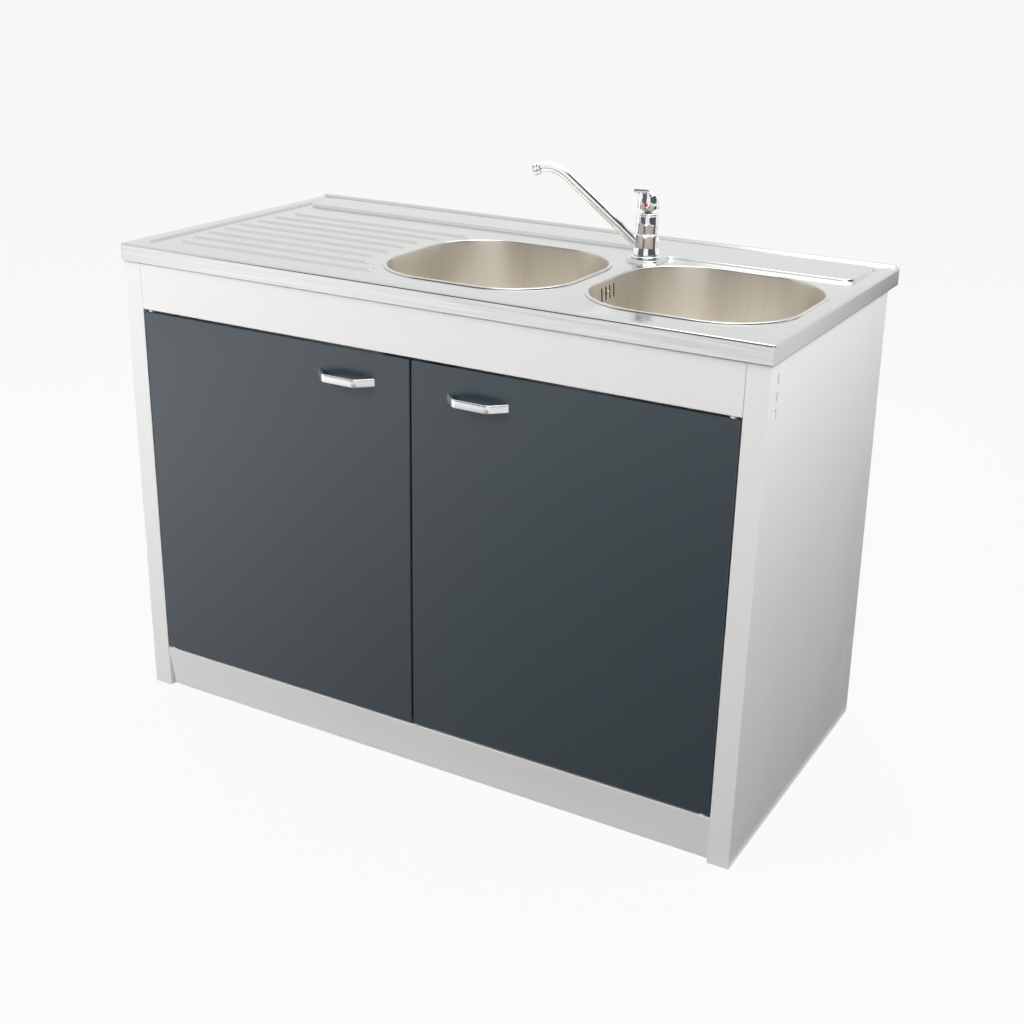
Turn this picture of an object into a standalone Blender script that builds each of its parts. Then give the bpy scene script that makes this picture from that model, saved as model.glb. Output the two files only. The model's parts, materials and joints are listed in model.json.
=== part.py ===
"""Steel sink cabinet with two doors, a pressed two-bowl sink top, its wastes and a lever tap.

Metres, +Z up, the doors face -Y. The origin is the middle of the footprint, on the floor.
X is measured from the middle, heights from the floor, and depths from the front edge of the
sink top, which at_depth() turns into Y.
"""
import math

import bmesh
import bpy
from mathutils import Matrix, Vector

for old in list(bpy.data.objects):
    bpy.data.objects.remove(old, do_unlink=True)

# Shared clearances and cuts
GAP = 0.0003                   # between touching pieces
OVERRUN = 0.004                # how far a cut runs past what it cuts
ARC_STEPS = 4

# Sink top, pressed from one stainless sheet
TOP_WIDTH = 1.200
TOP_DEPTH = 0.600
TOP_HEIGHT = 0.857             # flat border over the floor
TOP_SHEET = 0.001
SKIRT_HEIGHT = 0.030
SKIRT_EDGE_RADIUS = 0.003
BORDER_WIDTH = 0.028           # flat border round the pressed field
FIELD_RADIUS = 0.032
FIELD_SLOPE = 0.003            # how far the step down to the field runs in plan
FIELD_DROP = 0.003
LEDGE_RISE = 0.002             # tap ledge over the border
LEDGE_SLOPE = 0.004
LEDGE_WIDTH = 0.076            # behind the left bowl
LEDGE_WIDTH_RIGHT = 0.123      # behind the right bowl
LEDGE_BACK_INSET = 0.032       # back of the ledge to the wall side of the top
LEDGE_END_INSET = 0.036        # ledge ends to the ends of the top
LEDGE_TAP_MARGIN = 0.028       # ledge round the tap, from its axis
LEDGE_RADIUS = 0.020
LIP_WIDTH = 0.016              # rolled lip along the wall side
LIP_RISE = 0.004
LIP_INSET = 0.0015

# Drainer
RIB_COUNT = 8
RIB_FIRST_INSET = 0.001        # first rib behind the front of the bowls
RIB_LAST_INSET = 0.011         # last rib before the back of the bowls
RIB_WIDTH = 0.014
RIB_RISE = 0.0026
# place, width and rise of each step at a rib's end
RIB_TIP_SHARES = ((0.0, 0.5, 0.1), (0.25, 0.9, 0.75), (1.0, 1.0, 1.0))
RIB_SHOULDER_SHARE = 0.6
RIB_END_INSET = 0.046          # left ends of the middle ribs to the end of the top
RIB_END_BOW = 0.022            # how far the outer ribs stop short of that
RIB_BOWL_MARGIN = 0.030

# Bowls
BOWL_WIDTH = 0.338
BOWL_FRONT = 0.079
BOWL_LEDGE_MARGIN = 0.032      # back of the bowls to the ledge behind the right one
BOWL_RADIUS = 0.120
BOWL_DEPTH = 0.150
BOWL_TAPER = 0.009
BOWL_FLOOR_RADIUS = 0.030
BOWL_FLOOR_FALL = 0.003
BOWL_SHEET = 0.001
BOWL_END_INSET = 0.035         # right bowl to the right end of the top
BOWL_SPACING = 0.040           # between the bowls
BOWL_RIM_WIDTH = 0.007
BOWL_RIM_RISE = 0.0022
BOWL_CORNER_STEPS = 5

# Overflow of the right bowl
OVERFLOW_OFFSET = 0.009        # in front of the bowl's middle
OVERFLOW_DROP = 0.020          # centre under the field
OVERFLOW_SLOTS = 4
OVERFLOW_PITCH = 0.0145
OVERFLOW_SLOT = 0.0045
OVERFLOW_TALL = 0.024
OVERFLOW_BOX_WIDTH = 0.062
OVERFLOW_BOX_TALL = 0.036
OVERFLOW_BOX_THICK = 0.013
OVERFLOW_WALL = 0.002
OVERFLOW_PIPE_RADIUS = 0.009
OVERFLOW_PIPE_WALL = 0.0018
OVERFLOW_PIPE_BEND = 0.030
OVERFLOW_INLET = 0.018          # axis of its pipe over the bottom of the waste cup
OVERFLOW_SCREW_RADIUS = 0.0022
OVERFLOW_SCREW_HEAD = 0.0048
OVERFLOW_HEAD_THICK = 0.0018

# Wastes and strainers
WASTE_HOLE_RADIUS = 0.045
WASTE_FLANGE_RADIUS = 0.056
WASTE_FLANGE = 0.0015
WASTE_CUP_RADIUS = 0.0435
WASTE_CUP_DEPTH = 0.048
WASTE_WALL = 0.0015
WASTE_SPIGOT_RADIUS = 0.019
WASTE_SPIGOT_LENGTH = 0.020
WASTE_CONE = 0.010
WASTE_NUT_RADIUS = 0.054
WASTE_NUT_HEIGHT = 0.012
WASTE_SEAL = 0.002
STRAINER_SEAT = 0.010          # under the flange
STRAINER_SEAT_WIDTH = 0.005
STRAINER_DEPTH = 0.022
STRAINER_WALL = 0.0012
STRAINER_TAPER = 0.006
STRAINER_HOLES = 8
STRAINER_HOLE_RADIUS = 0.003
STRAINER_KNOB_RADIUS = 0.010
STRAINER_KNOB_RISE = 0.012     # over the seat
STRAINER_POST_RADIUS = 0.004

# Waste pipes
PIPE_RADIUS = 0.020
PIPE_WALL = 0.002
PIPE_BEND = 0.026
PIPE_DROP = 0.057              # axis of the pipe between the bowls, under the wastes
PIPE_NUT_RADIUS = 0.027
PIPE_NUT_HEIGHT = 0.018
PIPE_SOCKET = 0.009            # how far a nut or cup takes in a pipe
PIPE_SIDES = 12
TRAP_DROP = 0.044              # top of the trap under that axis
TRAP_RADIUS = 0.030
TRAP_HEAD = 0.056
TRAP_CUP_RADIUS = 0.033
TRAP_CUP_HEIGHT = 0.054
TRAP_CUP_WALL = 0.0025
TRAP_CUP_BASE_SHARE = 0.55     # width of the cup's foot over its width
OUTLET_RADIUS = 0.016
OUTLET_END_INSET = 0.040       # its open end to the wall side of the top
OUTLET_SPIGOT = 0.022

# Tap
TAP_OFFSET = 0.005             # right of the middle between the bowls
TAP_INSET = 0.001              # in front of the back of the bowls
TAP_FLANGE_RADIUS = 0.025
TAP_FLANGE_HEIGHT = 0.005
TAP_BODY_RADIUS = 0.0195
TAP_SHOULDER = 0.077           # over the ledge
TAP_STEM_RADIUS = 0.0150
TAP_COLLAR_RADIUS = 0.0208
TAP_COLLAR_FOOT = 0.0235
TAP_COLLAR_TOP = 0.042
TAP_COLLAR_FIT = 0.0006
TAP_SHANK_RADIUS = 0.0140
TAP_SHANK_LENGTH = 0.046
TAP_HOLE_RADIUS = 0.0175
TAP_NUT_RADIUS = 0.0215
TAP_NUT_HEIGHT = 0.012
TAP_NUT_SIDES = 6
TAP_WASHER_RADIUS = 0.0235
TAP_WASHER = 0.003
TAP_ROUNDING = 0.0015
SPOUT_RADIUS = 0.0090
SPOUT_ANGLE_DEG = 205.0        # which way it points at rest
SPOUT_START = 0.0263           # height of its axis where it leaves the collar
SPOUT_PEAK = 0.1485
SPOUT_SLOPE_DEG = 42.0
SPOUT_BEND = 0.060
SPOUT_TIP_BEND = 0.014
SPOUT_TIP_REACH = 0.181        # from the tap's axis to where the tip turns down
SPOUT_TIP_SLOPE_DEG = 20.0
SPOUT_TIP_LENGTH = 0.010
SPOUT_SIDES = 12
AERATOR_RADIUS = 0.0122
AERATOR_LENGTH = 0.013
AERATOR_SOCKET = 0.007
AERATOR_WEB = 0.002
LEVER_PIVOT = 0.092            # over the ledge
LEVER_ANGLE_DEG = 12.0         # from straight ahead, towards +X
CARTRIDGE_RADIUS = 0.0155
LEVER_CAVITY_FIT = 0.0007
LEVER_CAP_DROP = 0.0085        # under the pivot
LEVER_CAP_TOP = 0.024
LEVER_CAP_RADIUS = 0.0190
LEVER_CAP_FOOT = 0.0180
LEVER_CAP_SIDE = 0.006         # top of the cap's straight side, over the pivot
LEVER_REACH = 0.061
LEVER_END_HEIGHT = 0.031       # over the pivot
LEVER_ROOT_WIDTH = 0.017
LEVER_END_WIDTH = 0.029
LEVER_ROOT_THICK = 0.009
LEVER_END_THICK = 0.0055
INDEX_RADIUS = 0.0030
INDEX_THICK = 0.0012
INDEX_RISE = 0.0005            # stands out of the cap

# Carcass of folded sheet steel
SHEET = 0.001
SIDE_INSET = 0.003             # carcass inside the ends of the top
FRONT_INSET = 0.003            # carcass behind the front edge of the top
STILE_WIDTH = 0.0375
JAMB_DEPTH = 0.021
FLANGE_WIDTH = 0.018
SIDE_FOOT_INSET = 0.001        # the sides' rear edge at the floor, to the back of the top
SIDE_HEAD_INSET = 0.052        # the sides' rear edge under the top
HOOK_SLOT_WIDTH = 0.0050
HOOK_SLOT_TALL = 0.014
HOOK_PITCH = 0.026
HOOK_FIT = 0.0008
FRONT_SLOT_DEPTH = 0.0325
FRONT_SLOT_RISE = 0.004        # lowest of three, over the underside of the rail
REAR_SLOT_INSET = 0.0505       # to the back of the top
REAR_SLOT_DROP = 0.252         # lowest of three, under the top
HOOK_COUNT = 3
FOOT_HOLE_RADIUS = 0.0022
FOOT_HOLE_DEPTH = 0.027
FOOT_HOLE_LOW = 0.020
FOOT_HOLE_HIGH = 0.054
KNOCKOUT_WIDTH = 0.066         # outline for a skirting cut-out, from the rear edge
KNOCKOUT_HEIGHT = 0.164
KNOCKOUT_RADIUS = 0.024
KNOCKOUT_LINE = 0.0016
KNOCKOUT_DEEP = 0.0004
RAIL_DROP = 0.112              # underside of the front rail, under the top
RAIL_BACK_TALL = 0.070
RAIL_FLANGE = 0.016
REAR_RAIL_MARGIN = 0.011       # rail past its outer hooks
REAR_RAIL_FLANGE = 0.016
PLINTH_TOP = 0.082
PLINTH_LIFT = 0.002
PLINTH_LEAN = 0.009
PLINTH_FOOT = 0.018
PLINTH_SHELF_DEPTH = 0.030
FLOOR_REAR_INSET = 0.011       # to the sides' rear edge at the floor
FLOOR_LIP = 0.030
FLOOR_LAP = 0.007              # floor panel's lap on the plinth
SHELF_PIN_DROP = 0.0257        # shelf pins under the foot of the trap
SHELF_PIN_DEPTH_FRONT = 0.097
SHELF_PIN_REAR_INSET = 0.237   # rear pins to the sides' rear edge at the floor
SHELF_PIN_RADIUS = 0.004
SHELF_PIN_LENGTH = 0.013
SHELF_PIN_HEAD = 0.0065
SHELF_PIN_HEAD_THICK = 0.002
SHELF_MARGIN = 0.032           # shelf past its pins
SHELF_LIP = 0.018
SHELF_END_GAP = 0.003

# Doors
DOOR_THICK = 0.020
DOOR_LIP = 0.014
DOOR_SIDE_GAP = 0.0025
DOOR_MIDDLE_GAP = 0.0034
DOOR_TOP_GAP = 0.004
DOOR_FOOT_GAP = 0.004
PIVOT_INSET = 0.0145           # hinge axis to the stile
PIVOT_DEPTH = 0.007            # hinge axis behind the door's face
PIVOT_RADIUS = 0.0030
PIVOT_FIT = 0.0004
PIVOT_COLLAR = 0.0055
PIVOT_HEAD = 0.0045
PIVOT_HEAD_HEIGHT = 0.003
PIVOT_REACH = 0.006
CATCH_WIDTH = 0.046
CATCH_DEEP = 0.018
CATCH_TALL = 0.016
CATCH_X = 0.042
CATCH_GROOVE = 0.003
HANDLE_X = 0.125
HANDLE_DROP = 0.0495           # under the top of the door
HANDLE_LENGTH = 0.112
HANDLE_REACH = 0.025
HANDLE_STRAP = 0.0042
HANDLE_TALL = 0.014
HANDLE_FLAT = 0.063
HANDLE_FOOT = 0.012
HANDLE_EDGE = 0.0010
HANDLE_SCREW_SPACING = 0.096
HANDLE_SCREW_RADIUS = 0.0017
HANDLE_SCREW_FIT = 0.0004
HANDLE_SCREW_DEEP = 0.0048
HANDLE_SCREW_HEAD = 0.0038
HANDLE_SCREW_HEAD_THICK = 0.0022

# Places that follow from the sizes above
FRONT_Y = (HANDLE_REACH - FRONT_INSET - TOP_DEPTH) / 2
HALF_TOP = TOP_WIDTH / 2
FIELD_Z = TOP_HEIGHT - FIELD_DROP
LEDGE_Z = TOP_HEIGHT + LEDGE_RISE
CARCASS_HALF = HALF_TOP - SIDE_INSET
WEB_INNER = CARCASS_HALF - SHEET
INSIDE_HALF = WEB_INNER - GAP
CARCASS_TOP = TOP_HEIGHT - TOP_SHEET - GAP
STILE_X = CARCASS_HALF - STILE_WIDTH
FACE_DEPTH = FRONT_INSET
JAMB_BACK = FACE_DEPTH + JAMB_DEPTH
RAIL_BACK = FRONT_SLOT_DEPTH + SHEET / 2
RAIL_HEIGHT = TOP_HEIGHT - RAIL_DROP
FRONT_SLOT_HEIGHT = RAIL_HEIGHT + FRONT_SLOT_RISE
REAR_SLOT_HEIGHT = TOP_HEIGHT - REAR_SLOT_DROP
DOOR_TOP = RAIL_HEIGHT - DOOR_TOP_GAP
HANDLE_HEIGHT = DOOR_TOP - HANDLE_DROP
DOOR_FOOT = PLINTH_TOP + DOOR_FOOT_GAP
PIVOT_X = STILE_X - PIVOT_INSET
PIVOT_Y_DEPTH = FACE_DEPTH + PIVOT_DEPTH
BOWL_RIGHT_X = HALF_TOP - BOWL_END_INSET - BOWL_WIDTH / 2
BOWL_LEFT_X = BOWL_RIGHT_X - BOWL_WIDTH - BOWL_SPACING
LEDGE_BACK = TOP_DEPTH - LEDGE_BACK_INSET
LEDGE_DEPTH = LEDGE_BACK - LEDGE_WIDTH
LEDGE_DEPTH_RIGHT = LEDGE_BACK - LEDGE_WIDTH_RIGHT
BOWL_BACK = LEDGE_DEPTH_RIGHT - BOWL_LEDGE_MARGIN
BOWL_LENGTH = BOWL_BACK - BOWL_FRONT
BOWL_MIDDLE_DEPTH = BOWL_FRONT + BOWL_LENGTH / 2
OVERFLOW_DEPTH = BOWL_MIDDLE_DEPTH - OVERFLOW_OFFSET
# the overflow's box lies against straight wall, between the round corners
BOWL_CORNER = min(BOWL_RADIUS, BOWL_LENGTH / 2 - OVERFLOW_OFFSET - OVERFLOW_BOX_WIDTH / 2)
RIB_FIRST_DEPTH = BOWL_FRONT + RIB_FIRST_INSET
RIB_PITCH = (BOWL_BACK - RIB_LAST_INSET - RIB_FIRST_DEPTH) / (RIB_COUNT - 1)
TAP_X = (BOWL_LEFT_X + BOWL_RIGHT_X) / 2 + TAP_OFFSET
TAP_DEPTH = BOWL_BACK - TAP_INSET
SIDE_FOOT_DEPTH = TOP_DEPTH - SIDE_FOOT_INSET
SIDE_HEAD_DEPTH = TOP_DEPTH - SIDE_HEAD_INSET
REAR_SLOT_DEPTH = TOP_DEPTH - REAR_SLOT_INSET
FLOOR_REAR = SIDE_FOOT_DEPTH - FLOOR_REAR_INSET
SHELF_PIN_DEPTH_REAR = SIDE_FOOT_DEPTH - SHELF_PIN_REAR_INSET
OUTLET_END = TOP_DEPTH - OUTLET_END_INSET
BOWL_FLOOR_Z = FIELD_Z - BOWL_DEPTH
WASTE_Z = BOWL_FLOOR_Z - BOWL_FLOOR_FALL
CUP_BOTTOM_Z = WASTE_Z - WASTE_CUP_DEPTH
SPIGOT_END_Z = CUP_BOTTOM_Z - WASTE_CONE - WASTE_SPIGOT_LENGTH
PIPE_HEIGHT = SPIGOT_END_Z - PIPE_DROP
TRAP_TOP = PIPE_HEIGHT - TRAP_DROP
SHELF_PIN_HEIGHT = TRAP_TOP - TRAP_HEAD - GAP - TRAP_CUP_HEIGHT - SHELF_PIN_DROP
SIDES = ((-1, "left"), (1, "right"))


def at_depth(depth):
    """Y of a place that lies this far behind the front edge of the sink top."""
    return FRONT_Y + depth


TAP_Y = at_depth(TAP_DEPTH)
BOWL_Y = at_depth(BOWL_MIDDLE_DEPTH)


# Materials

def material(name, color, roughness, metallic):
    made = bpy.data.materials.new(name)
    made.use_nodes = True
    shader = made.node_tree.nodes["Principled BSDF"]
    shader.inputs["Base Color"].default_value = (*color, 1.0)
    shader.inputs["Roughness"].default_value = roughness
    shader.inputs["Metallic"].default_value = metallic
    return made


WHITE = material("white_lacquer", (0.84, 0.85, 0.86), 0.25, 0.0)
SLATE = material("slate_lacquer", (0.07, 0.09, 0.105), 0.35, 0.0)
STEEL = material("stainless", (0.72, 0.72, 0.71), 0.22, 1.0)
SATIN = material("satin_stainless", (0.56, 0.53, 0.49), 0.38, 1.0)
CHROME = material("chrome", (0.85, 0.86, 0.87), 0.06, 1.0)
HANDLE_METAL = material("satin_chrome", (0.78, 0.78, 0.78), 0.25, 1.0)
ZINC = material("zinc_plated", (0.62, 0.62, 0.60), 0.35, 1.0)
NYLON = material("white_nylon", (0.86, 0.86, 0.84), 0.45, 0.0)
PIPE_WHITE = material("white_pipe", (0.80, 0.80, 0.78), 0.40, 0.0)
BLACK = material("black_rubber", (0.03, 0.03, 0.03), 0.60, 0.0)
BROWN = material("magnet_brown", (0.16, 0.10, 0.07), 0.50, 0.0)
RED = material("index_red", (0.60, 0.03, 0.05), 0.30, 0.0)


# Building blocks

def new_object(name, mesh_data, finish, place=(0, 0, 0), smooth=True):
    """An object from a bmesh whose points are measured from place."""
    bmesh.ops.recalc_face_normals(mesh_data, faces=mesh_data.faces)
    mesh = bpy.data.meshes.new(name)
    mesh_data.to_mesh(mesh)
    mesh_data.free()
    mesh.materials.append(finish)
    if smooth:
        mesh.shade_smooth()
        mesh.set_sharp_from_angle(angle=math.radians(35))
    made = bpy.data.objects.new(name, mesh)
    made.location = place
    bpy.context.scene.collection.objects.link(made)
    return made


def guide(name, mesh_data, place=(0, 0, 0)):
    """A cutter or an added form, which only shapes another object."""
    made = new_object(name, mesh_data, ZINC, place)
    made.hide_render = True
    made.display_type = "WIRE"
    return made


def boolean(target, other, operation="DIFFERENCE"):
    step = target.modifiers.new(other.name, "BOOLEAN")
    step.operation = operation
    step.solver = "EXACT"
    step.object = other
    return target


def joined(*parts):
    """Several bmeshes as one."""
    whole = bmesh.new()
    for part in parts:
        moved = {corner: whole.verts.new(corner.co) for corner in part.verts}
        for face in part.faces:
            whole.faces.new([moved[corner] for corner in face.verts])
        part.free()
    return whole


def turned_by(mesh_data, matrix):
    bmesh.ops.transform(mesh_data, matrix=matrix, verts=mesh_data.verts)
    return mesh_data


def box(low, high):
    made = bmesh.new()
    bmesh.ops.create_cube(made, size=1)
    for corner in made.verts:
        corner.co = Vector([(a + b) / 2 + c * (b - a) for a, b, c in zip(low, high, corner.co)])
    return made


def prism(outline, low, high, axis="Z"):
    """A closed outline pushed from low to high along an axis; its points are the other two axes."""
    order = {"Z": lambda p, h: (p[0], p[1], h), "Y": lambda p, h: (p[0], h, p[1]),
             "X": lambda p, h: (h, p[0], p[1])}[axis]
    return lofted([[order(p, low) for p in outline], [order(p, high) for p in outline]])


def lofted(rings, closed=False):
    """Rings of equally many points skinned into a solid: capped, or closed on itself."""
    made = bmesh.new()
    rows = [[made.verts.new(point) for point in ring] for ring in rings]
    count = len(rows[0])
    pairs = list(zip(rows, rows[1:]))
    if closed:
        pairs.append((rows[-1], rows[0]))
    for first, second in pairs:
        for i in range(count):
            j = (i + 1) % count
            made.faces.new((first[i], first[j], second[j], second[i]))
    if not closed:
        made.faces.new(list(reversed(rows[0])))
        made.faces.new(rows[-1])
    return made


def revolved(profile, sides, start=0.0):
    """A closed (radius, height) profile turned about Z; points on the axis become one vertex."""
    made = bmesh.new()
    columns = []
    for radius, height in profile:
        if radius <= 0:
            columns.append([made.verts.new((0, 0, height))] * sides)
            continue
        ring = []
        for i in range(sides):
            angle = start + math.tau * i / sides
            ring.append(made.verts.new((radius * math.cos(angle), radius * math.sin(angle), height)))
        columns.append(ring)
    on_axis = [radius <= 0 for radius, _ in profile]
    for k in range(len(profile)):
        n = (k + 1) % len(profile)
        if on_axis[k] and on_axis[n]:
            continue
        for i in range(sides):
            j = (i + 1) % sides
            corners = [columns[k][i], columns[k][j], columns[n][j], columns[n][i]]
            made.faces.new(list(dict.fromkeys(corners)))
    return made


def rounded(points, radii, steps=ARC_STEPS, closed=True):
    """A polyline whose corners become arcs; works in two or three dimensions."""
    corners = [Vector(point) for point in points]
    out = []
    for i, corner in enumerate(corners):
        radius = radii[i] if isinstance(radii, (list, tuple)) else radii
        at_end = not closed and i in (0, len(corners) - 1)
        if at_end or radius <= 0:
            out.append(corner.copy())
            continue
        before = (corners[i - 1] - corner).normalized()
        after = (corners[(i + 1) % len(corners)] - corner).normalized()
        half = before.angle(after) / 2
        reach = radius / math.tan(half)
        middle = corner + (before + after).normalized() * (radius / math.sin(half))
        first = corner + before * reach - middle
        last = corner + after * reach - middle
        sweep = first.angle(last)
        for step in range(steps + 1):
            t = step / steps
            arm = first * (math.sin((1 - t) * sweep) / math.sin(sweep))
            out.append(middle + arm + last * (math.sin(t * sweep) / math.sin(sweep)))
    return out


def rounded_box(x0, x1, y0, y1, radius, steps=ARC_STEPS):
    return rounded([(x0, y0), (x1, y0), (x1, y1), (x0, y1)], radius, steps)


def lifted(outline, height):
    return [(point[0], point[1], height) for point in outline]


def sheet_outline(points, thickness):
    """The closed outline of a folded sheet, from the line of its outer side."""
    line = [Vector(point) for point in points]
    normals = []
    for first, second in zip(line, line[1:]):
        along = (second - first).normalized()
        normals.append(Vector((-along.y, along.x)))
    inner = [line[0] + normals[0] * thickness]
    for before, after, corner in zip(normals, normals[1:], line[1:-1]):
        inner.append(corner + (before + after) * (thickness / (1 + before.dot(after))))
    inner.append(line[-1] + normals[-1] * thickness)
    return line + inner[::-1]


def tube(points, radius, sides, bore=0.0):
    """A round bar or pipe along a path; a pipe is open at both ends."""
    path = [Vector(point) for point in points]
    tangents = [(path[min(i + 1, len(path) - 1)] - path[max(i - 1, 0)]).normalized()
                for i in range(len(path))]
    side = tangents[0].orthogonal().normalized()
    frames = []
    for tangent in tangents:
        side = (side - tangent * side.dot(tangent)).normalized()
        frames.append((side.copy(), tangent.cross(side)))

    def rings(ring_radius):
        made = []
        for point, (u, v) in zip(path, frames):
            made.append([point + (u * math.cos(math.tau * i / sides) + v * math.sin(math.tau * i / sides))
                         * ring_radius for i in range(sides)])
        return made

    if bore:
        return lofted(rings(radius) + rings(bore)[::-1], closed=True)
    return lofted(rings(radius))


def span(sign, inner, outer):
    """An X range on one side of the middle, low end first."""
    return tuple(sorted((sign * inner, sign * outer)))


# Carcass

def side_outline(inset, front):
    """Side panel seen from the side, drawn in by a sheet's thickness, starting at a depth."""
    lean = (SIDE_FOOT_DEPTH - SIDE_HEAD_DEPTH) / CARCASS_TOP
    slant = inset * math.hypot(1, lean)
    low, high = inset, CARCASS_TOP - inset
    return [(at_depth(front), low), (at_depth(SIDE_FOOT_DEPTH - lean * low - slant), low),
            (at_depth(SIDE_FOOT_DEPTH - lean * high - slant), high), (at_depth(front), high)]


def side_panel(sign, word):
    """Panel, front stile, door jamb and the top, rear and foot flanges, all one folded sheet."""
    name = f"side_{word}"
    panel = new_object(name, prism(side_outline(0, FACE_DEPTH), *span(sign, STILE_X, CARCASS_HALF), "X"),
                       WHITE, smooth=False)
    hollow = prism(side_outline(SHEET, JAMB_BACK), *span(sign, STILE_X - OVERRUN, WEB_INNER), "X")
    x0, x1 = span(sign, STILE_X + SHEET, WEB_INNER)
    stile = box((x0, at_depth(FACE_DEPTH + SHEET), SHEET),
                (x1, at_depth(JAMB_BACK + OVERRUN), CARCASS_TOP - SHEET))
    x0, x1 = span(sign, STILE_X - OVERRUN, CARCASS_HALF - FLANGE_WIDTH)
    trim = box((x0, at_depth(JAMB_BACK), -OVERRUN), (x1, at_depth(TOP_DEPTH), CARCASS_TOP + OVERRUN))
    boolean(panel, guide(f"{name}_hollow", hollow))
    boolean(panel, guide(f"{name}_stile_hollow", stile))
    boolean(panel, guide(f"{name}_flange_trim", trim))
    x0, x1 = span(sign, WEB_INNER - OVERRUN, CARCASS_HALF + OVERRUN)
    slots = []
    for depth, lowest in ((FRONT_SLOT_DEPTH, FRONT_SLOT_HEIGHT), (REAR_SLOT_DEPTH, REAR_SLOT_HEIGHT)):
        for i in range(HOOK_COUNT):
            middle = lowest + i * HOOK_PITCH
            slots.append(box((x0, at_depth(depth - HOOK_SLOT_WIDTH / 2), middle - HOOK_SLOT_TALL / 2),
                             (x1, at_depth(depth + HOOK_SLOT_WIDTH / 2), middle + HOOK_SLOT_TALL / 2)))
    across = Matrix.Rotation(math.pi / 2, 4, "Y")
    length = (WEB_INNER - OVERRUN, CARCASS_HALF + OVERRUN)
    holes = [(FOOT_HOLE_DEPTH, FOOT_HOLE_LOW, FOOT_HOLE_RADIUS),
             (FOOT_HOLE_DEPTH, FOOT_HOLE_HIGH, FOOT_HOLE_RADIUS),
             (SHELF_PIN_DEPTH_FRONT, SHELF_PIN_HEIGHT, SHELF_PIN_RADIUS + GAP + GAP),
             (SHELF_PIN_DEPTH_REAR, SHELF_PIN_HEIGHT, SHELF_PIN_RADIUS + GAP + GAP)]
    for depth, height, radius in holes:
        drill = revolved([(0, sign * length[0]), (radius, sign * length[0]),
                          (radius, sign * length[1]), (0, sign * length[1])], 8)
        turned_by(drill, Matrix.Translation((0, at_depth(depth), height)) @ across)
        slots.append(drill)
    boolean(panel, guide(f"{name}_holes", joined(*slots)))
    boolean(panel, guide(f"{name}_knockout_line", knockout_line(sign)))
    return panel


def knockout_line(sign):
    """A shallow line round the corner that is cut away over a skirting board."""
    corner = SIDE_FOOT_DEPTH - KNOCKOUT_WIDTH
    behind = SIDE_FOOT_DEPTH + OVERRUN

    def line(offset):
        points = [(at_depth(behind), KNOCKOUT_HEIGHT + offset),
                  (at_depth(corner - offset), KNOCKOUT_HEIGHT + offset),
                  (at_depth(corner - offset), -OVERRUN)]
        return rounded(points, KNOCKOUT_RADIUS + offset, closed=False)

    outline = line(KNOCKOUT_LINE / 2) + line(-KNOCKOUT_LINE / 2)[::-1]
    return prism(outline, *span(sign, CARCASS_HALF - KNOCKOUT_DEEP, CARCASS_HALF + OVERRUN), "X")


def hook_notches(sign, low, high, heights, depth):
    """What is cut from a rail's end so that only its hooks pass through the side."""
    x0, x1 = span(sign, INSIDE_HALF, CARCASS_HALF + OVERRUN)
    edges = [low - OVERRUN]
    for middle in heights:
        half = HOOK_SLOT_TALL / 2 - HOOK_FIT
        edges += [middle - half, middle + half]
    edges.append(high + OVERRUN)
    reach = OVERRUN + REAR_RAIL_FLANGE + RAIL_BACK
    return [box((x0, at_depth(depth) - reach, a), (x1, at_depth(depth) + reach, b))
            for a, b in zip(edges[::2], edges[1::2])]


def front_rail():
    """Face between the stiles, a floor over the doors and a back that hooks into both sides."""
    back_top = RAIL_HEIGHT + RAIL_BACK_TALL
    profile = sheet_outline([
        (at_depth(FACE_DEPTH + RAIL_FLANGE), CARCASS_TOP), (at_depth(FACE_DEPTH), CARCASS_TOP),
        (at_depth(FACE_DEPTH), RAIL_HEIGHT), (at_depth(RAIL_BACK), RAIL_HEIGHT),
        (at_depth(RAIL_BACK), back_top)], SHEET)
    rail = new_object("front_rail", prism(profile, -CARCASS_HALF, CARCASS_HALF, "X"), WHITE, smooth=False)
    cuts = []
    hooks = [FRONT_SLOT_HEIGHT + i * HOOK_PITCH for i in range(1, HOOK_COUNT)]
    for sign, word in SIDES:
        x0, x1 = span(sign, STILE_X - GAP, CARCASS_HALF + OVERRUN)
        cuts.append(box((x0, at_depth(FACE_DEPTH - OVERRUN), RAIL_HEIGHT - OVERRUN),
                        (x1, at_depth(JAMB_BACK + GAP), CARCASS_TOP + OVERRUN)))
        boolean(rail, guide(f"front_rail_hooks_{word}", joined(
            *hook_notches(sign, RAIL_HEIGHT, back_top, hooks, FRONT_SLOT_DEPTH))))
    boolean(rail, guide("front_rail_ends", joined(*cuts)))
    pins = [pivot_hole(sign, RAIL_HEIGHT + SHEET / 2) for sign, _ in SIDES]
    boolean(rail, guide("front_rail_pivot_holes", joined(*pins)))
    return rail


def pivot_hole(sign, height):
    drill = revolved([(0, -OVERRUN), (PIVOT_RADIUS + PIVOT_FIT, -OVERRUN),
                      (PIVOT_RADIUS + PIVOT_FIT, OVERRUN), (0, OVERRUN)], 12)
    return turned_by(drill, Matrix.Translation((sign * PIVOT_X, at_depth(PIVOT_Y_DEPTH), height)))


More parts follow.
